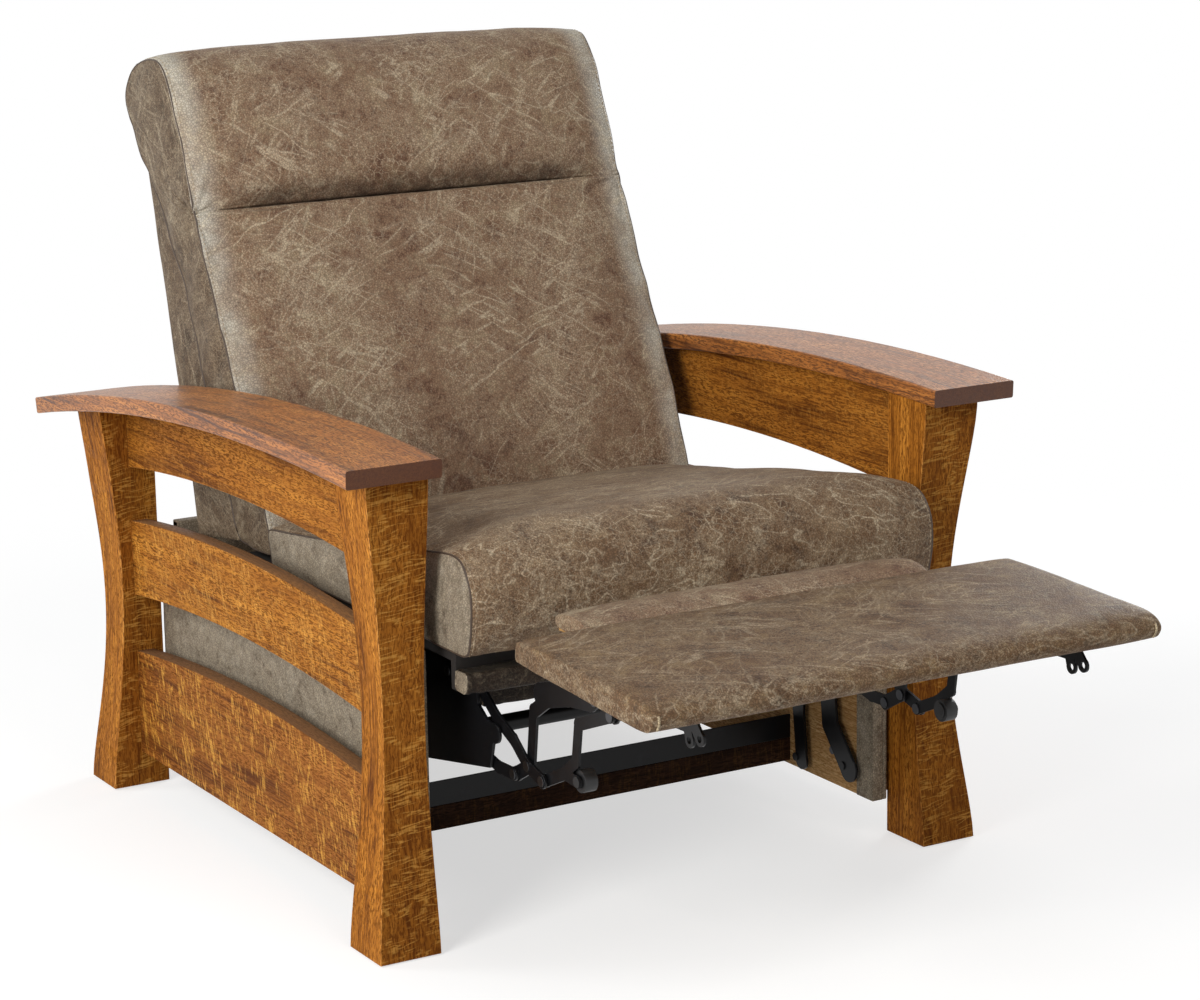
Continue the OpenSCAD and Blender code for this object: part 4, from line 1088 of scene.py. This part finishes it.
class RECLINER_OT_base(PieceOperator, bpy.types.Operator):
    """Dresses the plywood panels, the cross stretcher and its angle, the spacers and the bolts"""
    bl_idname = "recliner.base"
    bl_label = "Base"

    def make(self, sizes):
        ply = oak("plywood", (QUARTER, 0, QUARTER), amount=0.0, mid=srgb(188, 148, 98),
                  dark=srgb(140, 100, 60), light=srgb(206, 172, 124))
        stained = oak("dark_wood", (0, QUARTER, 0), amount=0.05, mid=srgb(58, 38, 27),
                      dark=srgb(28, 17, 12), light=srgb(78, 54, 39))
        for node in ("base_panel_left", "base_panel_right", "rear_board", "side_spacers",
                     "back_stiles", "back_rails", "footrest_board", "flipper_board"):
            dress(node, ply, width=BOARD_EDGE)
        # The seat rails are near black: painted shade under the seat.
        dress("seat_rails", plain("deck_rails_painted_shade", (24, 19, 16), (34, 28, 24), 0.8), width=BOARD_EDGE)
        dress("front_stretcher", stained, width=BEAM_EDGE)
        dress("seat_platform", plain("cloth", (52, 50, 47), (70, 67, 62), 0.85))
        dress("stretcher_angle", painted_steel(), width=sizes.steel_edge)
        dress("tracks", painted_steel(), width=sizes.steel_edge)
        dress("base_bolts", zinc(), width=PIN_EDGE)


class RECLINER_OT_steelwork(PieceOperator, bpy.types.Operator):
    """Dresses the linkage in black paint, with a painted highlight on its eased edges, zinc pins and dark
    rollers
    """
    bl_idname = "recliner.steelwork"
    bl_label = "Steelwork"

    def make(self, sizes):
        # The eased edges of the steel take a lighter bluish grey: a painted highlight.
        edge = plain("steel_edge", (58, 61, 68), (88, 91, 98), 0.3, **{"Specular IOR Level": 0.5})
        for node in ("side_plate_left", "side_plate_right", "slide_runners", "cross_tubes", "roll_straps",
                     "back_brackets", "long_link_left", "long_link_right", "torque_tube", "rear_links",
                     "coupler_left", "coupler_right", "j_link_left", "j_link_right", "footrest_brackets",
                     "flipper_brackets"):
            dress(node, painted_steel(), edge, sizes.steel_edge)
        for node in ("plate_pins", "long_link_pins", "rear_link_pins", "coupler_pins", "bracket_pins"):
            dress(node, zinc(), width=PIN_EDGE)
        dress("rest_rollers", plain("roller", (22, 22, 23), (48, 48, 50), 0.5), width=ROLLER_EDGE)


class RECLINER_OT_seat_cushion(PieceOperator, bpy.types.Operator):
    """Makes the boxed seat cushion with its crown, side welts and top stitches"""
    bl_idname = "recliner.seat_cushion"
    bl_label = "Seat cushion"

    def make(self, sizes):
        face, side = seat_leather(), side_leather()
        form = Cushion(seat_corners(0, 0), seat_corners(14, SEAT_CROWN - 3), SEAT_HALF - 1, power=5, puff=4,
                       place=flat, stations=46, columns=12)
        obj = form.build("seat_cushion_leather", face, side)
        swell_cloth(obj)

        def wrinkles(p, n):
            up = max(0.0, n.z)
            return 0.0016 * lumps(p, 9, 1.3) * up + 0.0011 * lumps(p, 26, 4.1) + 0.0006 * lumps(p, 60, 7.7)

        displace(obj, wrinkles)
        soften(obj)
        tree = surface_of(obj)
        extras = []
        for sign, tag in ((-1, "left"), (1, "right")):
            path = on_surface(tree, resample(form.seam(sign), 0.006), -0.0002)
            extras.append(tube("seat_welt_" + tag, path, sizes.welt, seam_shade_leather()))
            extras.append(stitches("seat_stitches_" + tag, tree, form.seam(sign, 5.0), thread()))
        finish_soft(obj, "seat_unit", "seat_cushion", extras)


class RECLINER_OT_front_rolls(PieceOperator, bpy.types.Operator):
    """Makes the padded front rail and the lower roll under the seat"""
    bl_idname = "recliner.front_rolls"
    bl_label = "Front rolls"

    def make(self, sizes):
        side = side_leather()
        # Both rolls take near-black leather: painted shade under the seat.
        dark = leather("leather_roll_painted_shade", base=srgb(33, 24, 19), dark=srgb(22, 16, 13), light=srgb(44, 33, 26),
                       creases=0.12)
        y1 = DECK_FRONT - LEATHER_GAP
        y0, z1 = y1 - RAIL_DEPTH, RAIL_TOP
        z0 = z1 - RAIL_H
        low = leather("leather_low_painted_shade", base=srgb(36, 26, 20), dark=srgb(24, 18, 14), light=srgb(48, 36, 28),
                      creases=0.12)
        rows = (("front_rail_leather", "front_rail", bar_corners(y0 + 5, y1, z0 + 3, z1 - 1, 8),
                 bar_corners(y0, y1, z0, z1, 12), BAY - 7, low),
                ("lower_roll_leather", "lower_roll",
                 bar_corners(ROLL_REAR - 25, ROLL_REAR, SEAT_Z - 110, SEAT_Z - 70, 8),
                 bar_corners(ROLL_REAR - 30, ROLL_REAR, SEAT_Z - 112, SEAT_Z - 67, 12), FLIP_HALF, dark))
        for name, node, edge, middle, half, skin in rows:
            form = Cushion(edge, middle, half, power=8, puff=2, place=flat, stations=56, columns=6)
            obj = form.build(name, skin, side)

            def folds(p, n):
                near = math.exp(-((half * MM - abs(p.x)) / 0.03) ** 2)
                return 0.0009 * lumps(p, 30, 2.2) + near * 0.0016 * math.sin(p.x * 420 + 3 * lumps(p, 40))

            displace(obj, folds)
            soften(obj)
            tree = surface_of(obj)
            extras = []
            for sign, tag in ((-1, "left"), (1, "right")):
                extras.append(tube(node + "_welt_" + tag, on_surface(tree, resample(form.seam(sign), 0.005)),
                                   sizes.welt, side))
            finish_soft(obj, "seat_unit", node, extras)


class RECLINER_OT_back_cushion(PieceOperator, bpy.types.Operator):
    """Makes the back with its head roll, the sewn crease and the boxed sides"""
    bl_idname = "recliner.back_cushion"
    bl_label = "Back cushion"

    def make(self, sizes):
        face, side = back_leather(), back_side_leather()

        def spread(w):
            return BACK_SPREAD * min(1.0, max(0.0, (w - 60) / 130))

        form = Cushion(back_corners(0, 2, 0, BACK_FALL), back_corners(BACK_CROWN - 2, 46, 25, 0), BACK_HALF,
                       power=5, puff=3, place=leaned, stations=56, columns=10, spread=spread,
                       late={4: 0.16, 5: 0.24, 6: 0.22})
        obj = form.build("back_cushion_leather", face, side)
        swell_cloth(obj, 0.005)
        end_y, end_z = leaned(-105, CREASE)
        half = BACK_HALF * MM

        def wrinkles(p, n):
            out = 0.0013 * lumps(p, 8, 2.3) + 0.0009 * lumps(p, 24, 5.1) + 0.0005 * lumps(p, 58, 1.7)
            dy, dz = p.y - (end_y * MM + SHIFT), p.z - end_z * MM
            dx = half - abs(p.x)
            far = math.sqrt(dx * dx + dy * dy + dz * dz)
            if far < 0.16:
                # Folds fan out from each end of the crease
                angle = math.atan2(dz - 0.3 * dy, dx + 0.004)
                out += 0.0022 * math.exp(-(far / 0.07) ** 2) * math.sin(angle * 11 + 2.5 * lumps(p, 18))
            if abs(p.x) > half - 0.004:
                # Shallow folds cross the boxed sides
                out += 0.0012 * math.sin(p.z * 38 + p.y * 70 + 3 * lumps(p, 7))
            return out

        displace(obj, wrinkles)
        soften(obj)
        tree = surface_of(obj)
        extras = []
        for sign, tag in ((-1, "left"), (1, "right")):
            path = on_surface(tree, resample(form.seam(sign), 0.006), -0.0003)
            extras.append(tube("back_welt_" + tag, path, sizes.welt * 0.9, seam_shade_leather()))
            extras.append(stitches("back_stitches_" + tag, tree, form.seam(sign, 4.5), thread()))
            rear = []
            for w in np.linspace(70, 580, 60):
                y, z = leaned(FRAME_V - 1.5 + max(0.0, (w - 430) * 0.232), w)
                rear.append(to_world(sign * (BACK_HALF + spread(w)), y, z))
            extras.append(tube("back_gusset_seam_" + tag, on_surface(tree, rear), CORD_RADIUS,
                               seam_shade_leather(), closed=False))
        finish_soft(obj, "back", "back_cushion", extras)


class RECLINER_OT_back_panels(PieceOperator, bpy.types.Operator):
    """Makes the leather panels on the sides and the rear of the back"""
    bl_idname = "recliner.back_panels"
    bl_label = "Back panels"

    def make(self, sizes):
        face, side = leather(), back_side_leather()
        side_shape = [[112, 92, 4], [rear_of_back(170), 170, 12], [rear_of_back(630) - 1, 630, 6],
                      [FRAME_V + 36, 581, 6], [FRAME_V, 430, 12], [FRAME_V, 58, 1]]
        half = 1.5
        made = []
        for sign, tag in ((-1, "left"), (1, "right")):
            form = Cushion(side_shape, side_shape, half, power=8, puff=2.4, place=leaned, stations=4,
                           columns=14, centre=sign * (BACK_HALF - half))
            obj = form.build("back_side_" + tag, side, side)

            def folds(p, n):
                if abs(n.x) < 0.5:
                    return 0.0
                return 0.0014 * lumps(p, 12, 3.3) + 0.0008 * lumps(p, 34, 6.1)

            displace(obj, folds)
            soften(obj)
            made.append(obj)
        for obj in made:
            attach(obj, "back")
        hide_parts("back_sides")
        rear = [[108, 91, 1], [112, 92, 2], [rear_of_back(170), 170, 20], [rear_of_back(630) - 1, 630, 4],
                [rear_of_back(630) - 6, 624, 4], [rear_of_back(170) - 4, 170, 20]]
        form = Cushion(rear, rear, BACK_HALF - 3, power=8, puff=0.5, place=leaned, stations=44, columns=2)
        obj = form.build("back_outer_leather", face, side)

        def slack(p, n):
            return 0.0018 * lumps(p, 6, 8.3) + 0.0008 * lumps(p, 28, 2.1)

        displace(obj, slack)
        soften(obj)
        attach(obj, "back")
        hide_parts("back_outer")


class RECLINER_OT_footrest_pad(PieceOperator, bpy.types.Operator):
    """Makes the footrest pad with the folded seams at its front corners"""
    bl_idname = "recliner.footrest_pad"
    bl_label = "Footrest pad"

    def make(self, sizes):
        face = rest_leather()
        form = Cushion(rest_corners(0, 0), rest_corners(4, 5), REST_HALF, power=8, puff=3,
                       place=on_rest, stations=56, columns=6)
        obj = form.build("footrest_pad_leather", face, face)

        def wrinkles(p, n):
            return 0.0011 * lumps(p, 9, 3.3) + 0.0004 * lumps(p, 26, 6.3)

        displace(obj, wrinkles)
        soften(obj)
        tree = surface_of(obj)
        extras = []
        for sign, tag in ((-1, "left"), (1, "right")):
            corner = []
            for t in np.linspace(0, 1, 9):
                y, z = on_rest(-REST_LEN + 4 - 2 * t, 3 + 22 * t)
                corner.append(to_world(sign * (REST_HALF - 9), y, z))
            path = on_surface(tree, corner, 0.0002)
            extras.append(tube("footrest_corner_seam_" + tag, path, CORD_RADIUS, thread_leather(),
                               closed=False))
        finish_soft(obj, "footrest", "footrest_pad", extras)


class RECLINER_OT_middle_pad(PieceOperator, bpy.types.Operator):
    """Makes the small pad behind the footrest, with its square corners"""
    bl_idname = "recliner.middle_pad"
    bl_label = "Middle pad"

    def make(self, sizes):
        face = leather()
        form = Cushion(middle_pad_corners(16, 2), middle_pad_corners(0, 0), FLIP_HALF - 2, power=4, puff=2,
                       place=flat, stations=48, columns=4)
        obj = form.build("middle_pad_leather", face, face)

        def wrinkles(p, n):
            return 0.0009 * lumps(p, 14, 1.3) + 0.0006 * lumps(p, 34, 5.3)

        displace(obj, wrinkles)
        soften(obj)
        finish_soft(obj, "middle_pad", "flipper_pad")


def grid_panel(name, low, high, skin, axis, puff, step, seed=0.0):
    """A leather-covered board between two corners: eased edges, and its two broad faces swell by puff."""
    low, high = np.array(low, float), np.array(high, float)
    size = high - low
    cells = [max(2, int(round(s / step))) for s in size]
    bm = bmesh.new()
    seen = {}

    def vertex(i, j, k):
        key = (i, j, k)
        if key not in seen:
            seen[key] = bm.verts.new(low + size * (np.array(key) / np.array(cells)))
        return seen[key]

    for a in range(3):
        b, c = (a + 1) % 3, (a + 2) % 3
        for end in (0, cells[a]):
            for u in range(cells[b]):
                for v in range(cells[c]):
                    quad = []
                    for du, dv in ((0, 0), (1, 0), (1, 1), (0, 1)):
                        key = [0, 0, 0]
                        key[a], key[b], key[c] = end, u + du, v + dv
                        quad.append(vertex(*key))
                    bm.faces.new(quad)
    bmesh.ops.recalc_face_normals(bm, faces=bm.faces)
    others = [a for a in range(3) if a != axis]
    for v in bm.verts:
        p = np.array(v.co)
        t = [(p[a] - low[a]) / size[a] for a in others]
        edge = min(min(x, 1 - x) * size[a] for x, a in zip(t, others))
        rise = puff * (1 - math.exp(-max(0.0, edge) / 0.012))
        sign = 1 if p[axis] > (low[axis] + high[axis]) / 2 else -1
        if abs(p[axis] - low[axis]) < 1e-9 or abs(p[axis] - high[axis]) < 1e-9:
            p[axis] += sign * rise * (0.8 + 0.35 * lumps(p, 16, seed))
            p[axis] += sign * 0.0006 * lumps(p, 40, seed + 3)
        v.co = p
    mesh = bpy.data.meshes.new(name)
    bm.to_mesh(mesh)
    bm.free()
    mesh.materials.append(skin)
    mesh.polygons.foreach_set("use_smooth", [True] * len(mesh.polygons))
    obj = bpy.data.objects.new(name, mesh)
    bpy.context.scene.collection.objects.link(obj)
    bevel = obj.modifiers.new("Eased", "BEVEL")
    bevel.width, bevel.segments, bevel.limit_method = 0.002, 3, "ANGLE"
    bevel.angle_limit = math.radians(50)
    return obj


class RECLINER_OT_base_covers(PieceOperator, bpy.types.Operator):
    """Makes the leather over the base panels and over the rear board"""
    bl_idname = "recliner.base_covers"
    bl_label = "Base covers"

    def make(self, sizes):
        side = side_leather()
        for sign, tag in ((-1, "left"), (1, "right")):
            low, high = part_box("base_cover_" + tag)
            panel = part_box("base_panel_" + tag)
            inner = panel[1][0] if sign > 0 else panel[0][0]
            outer = high[0] if sign > 0 else low[0]
            x0, x1 = sorted((inner, outer))
            obj = grid_panel("base_cover_leather_" + tag, (x0, low[1], low[2]), (x1, high[1], high[2]), side,
                             axis=0, puff=0.002, step=0.016, seed=sign * 2.0)
            front = grid_panel("base_cover_front_" + tag,
                               (low[0] if sign > 0 else x1, low[1], low[2]),
                               (x0 if sign > 0 else high[0], low[1] + 0.004, high[2]), side,
                               axis=1, puff=0.0008, step=0.008)
            near, face = sign * (BAY - 2) * MM, sign * BAY * MM
            flap = grid_panel("base_cover_flap_" + tag, (min(near, face), low[1], low[2]),
                              (max(near, face), low[1] + 0.04, high[2]), side,
                              axis=0, puff=0.0004, step=0.008)
            top = grid_panel("base_cover_top_" + tag, (min(face, inner), low[1], high[2] - 0.002),
                             (max(face, inner), high[1], high[2]), side,
                             axis=2, puff=0.0006, step=0.016)
            for piece in (obj, front, flap, top):
                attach(piece, "base")
            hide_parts("base_cover_" + tag)
        low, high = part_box("rear_cover")
        rear = grid_panel("rear_cover_leather", low, high, side, axis=1, puff=0.002, step=0.018, seed=5.0)
        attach(rear, "base")
        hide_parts("rear_cover")


def thread():
    return plain("thread", (150, 132, 108), (176, 158, 132), 0.7)


def thread_leather():
    return leather("leather_fold", base=srgb(176, 158, 128), dark=srgb(140, 120, 94),
                   light=srgb(196, 180, 152), creases=0.3)


def seen_rays(k):
    """One for rays that show the background: camera, glossy and transmission rays."""
    rays = k.nodes.new("ShaderNodeLightPath")
    both = k.math("MAXIMUM", rays.outputs["Is Camera Ray"], rays.outputs["Is Glossy Ray"])
    return k.math("MAXIMUM", both, rays.outputs["Is Transmission Ray"])


def white_paper():
    """White paper that shows the shadow near the object and goes over to plain white further out."""
    m = bpy.data.materials.new("paper_floor")
    m.use_nodes = True
    k = Nodes(m.node_tree)
    k.nodes.clear()
    out = k.nodes.new("ShaderNodeOutputMaterial")
    matte, white = k.nodes.new("ShaderNodeBsdfDiffuse"), k.nodes.new("ShaderNodeEmission")
    plain_white, near = k.nodes.new("ShaderNodeEmission"), k.nodes.new("ShaderNodeMixShader")
    sum_of, which = k.nodes.new("ShaderNodeAddShader"), k.nodes.new("ShaderNodeMixShader")
    place = k.nodes.new("ShaderNodeTexCoord").outputs["Object"]
    tint = k.noise(place, 3.0, 2.0)
    k.links.new(k.mix(tint, (0.44, 0.44, 0.44), (0.46, 0.46, 0.46)), matte.inputs["Color"])
    white.inputs["Strength"].default_value = 0.62
    plain_white.inputs["Strength"].default_value = 1.0
    k.links.new(matte.outputs[0], sum_of.inputs[0])
    k.links.new(white.outputs[0], sum_of.inputs[1])
    far = k.nodes.new("ShaderNodeVectorMath")
    far.operation = "LENGTH"
    k.links.new(k.scale(place, (1.0, 1.0, 0.0)), far.inputs[0])
    k.links.new(k.span(far.outputs["Value"], 1.0, 2.4), near.inputs[0])
    k.links.new(sum_of.outputs[0], near.inputs[1])
    k.links.new(plain_white.outputs[0], near.inputs[2])
    bounce = k.nodes.new("ShaderNodeBsdfDiffuse")
    bounce.inputs["Color"].default_value = (0.8, 0.8, 0.8, 1.0)
    k.links.new(seen_rays(k), which.inputs[0])
    k.links.new(bounce.outputs[0], which.inputs[1])
    k.links.new(near.outputs[0], which.inputs[2])
    k.links.new(which.outputs[0], out.inputs[0])
    return m


class RECLINER_OT_stage(PieceOperator, bpy.types.Operator):
    """Sets the floor, the plain studio light and the camera"""
    bl_idname = "recliner.stage"
    bl_label = "Stage"

    def make(self, sizes):
        scene = bpy.context.scene
        camera = bpy.data.objects.new("Camera", bpy.data.cameras.new("Camera"))
        turn = Matrix((CAMERA_RIGHT, CAMERA_UP, -Vector(CAMERA_AHEAD))).transposed().to_4x4()
        camera.matrix_world = Matrix.Translation(to_world(*CAMERA_AT)) @ turn
        camera.data.sensor_fit = "HORIZONTAL"
        camera.data.sensor_width = CAMERA_SENSOR
        camera.data.lens = CAMERA_LENS
        scene.collection.objects.link(camera)
        scene.camera = camera

        r = 30
        floor = mesh_object("floor", [(-r, -r, 0), (r, -r, 0), (r, r, 0), (-r, r, 0)], [(0, 1, 2, 3)],
                            (white_paper(),), smooth=False)
        floor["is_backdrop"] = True

        world = bpy.data.worlds.new("Studio")
        scene.world = world
        world.use_nodes = True
        k = Nodes(world.node_tree)
        k.nodes.clear()
        out = k.nodes.new("ShaderNodeOutputWorld")
        lit, seen = k.nodes.new("ShaderNodeBackground"), k.nodes.new("ShaderNodeBackground")
        lit.inputs["Color"].default_value = (0.95, 0.97, 1.0, 1.0)
        lit.inputs["Strength"].default_value = 0.24
        seen.inputs["Color"].default_value = (1, 1, 1, 1)
        seen.inputs["Strength"].default_value = 1.0
        which = k.nodes.new("ShaderNodeMixShader")
        k.links.new(seen_rays(k), which.inputs[0])
        k.links.new(lit.outputs[0], which.inputs[1])
        k.links.new(seen.outputs[0], which.inputs[2])
        k.links.new(which.outputs[0], out.inputs[0])

        def softbox(name, at, towards, size, watts, tint=(1, 1, 1)):
            lamp = bpy.data.lights.new(name, "AREA")
            lamp.shape, lamp.size, lamp.size_y = "RECTANGLE", size[0], size[1]
            lamp.energy, lamp.color = watts, tint
            obj = bpy.data.objects.new(name, lamp)
            at = Vector(at)
            turned = (Vector(towards) - at).to_track_quat("-Z", "Y").to_matrix().to_4x4()
            obj.matrix_world = Matrix.Translation(at) @ turned
            scene.collection.objects.link(obj)

        softbox("left", (-3.5, -1.6, 2.0), (0, 0, 0.5), (1.6, 2.4), 138, (1.0, 0.985, 0.95))
        softbox("front", (0.2, -3.2, 3.8), (0, 0, 0.6), (2.0, 1.6), 56, (1.0, 0.99, 0.97))
        softbox("right", (3.4, 1.9, 1.1), (0, 0, 0.6), (1.2, 2.4), 84, (0.97, 0.99, 1.0))
        softbox("behind", (-2.8, 1.9, 1.9), (0, 0.2, 0.8), (1.0, 2.0), 36, (0.97, 0.99, 1.0))
        softbox("top", (0.2, 0.2, 3.8), (0, 0.0, 0.4), (2.4, 2.4), 8)
        scene.view_settings.view_transform = "Standard"


class RECLINER_PT_pieces(bpy.types.Panel):
    """Lists the pieces, sizes and colours of the recliner"""
    bl_label = "Recliner"
    bl_idname = "RECLINER_PT_pieces"
    bl_space_type = "VIEW_3D"
    bl_region_type = "UI"
    bl_category = "Recliner"

    def draw(self, context):
        column = self.layout.column()
        for operator in OPERATORS:
            column.operator(operator.bl_idname)
        for group in (context.scene.recliner_sizes, context.scene.recliner_colours):
            for name in group.__class__.__annotations__:
                column.prop(group, name)


OPERATORS = (
    RECLINER_OT_stage,
    RECLINER_OT_side_frames,
    RECLINER_OT_base,
    RECLINER_OT_base_covers,
    RECLINER_OT_steelwork,
    RECLINER_OT_front_rolls,
    RECLINER_OT_seat_cushion,
    RECLINER_OT_back_cushion,
    RECLINER_OT_back_panels,
    RECLINER_OT_footrest_pad,
    RECLINER_OT_middle_pad,
)
CLASSES = (ReclinerSizes, ReclinerColours) + OPERATORS + (RECLINER_PT_pieces,)


def register():
    for c in CLASSES:
        bpy.utils.register_class(c)
    bpy.types.Scene.recliner_sizes = PointerProperty(type=ReclinerSizes)
    bpy.types.Scene.recliner_colours = PointerProperty(type=ReclinerColours)


def unregister():
    del bpy.types.Scene.recliner_colours
    del bpy.types.Scene.recliner_sizes
    for c in reversed(CLASSES):
        bpy.utils.unregister_class(c)


def corners(box):
    """The two corners of a box as plain numbers."""
    return [[float(v) for v in corner] for corner in box]


def main():
    solid_box = corners(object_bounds())
    register()
    for operator in OPERATORS:
        group, name = operator.bl_idname.split(".")
        getattr(getattr(bpy.ops, group), name)()
    {"cad": solid_box, "visual": corners(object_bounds())}


if __name__ == "__main__":
    main()
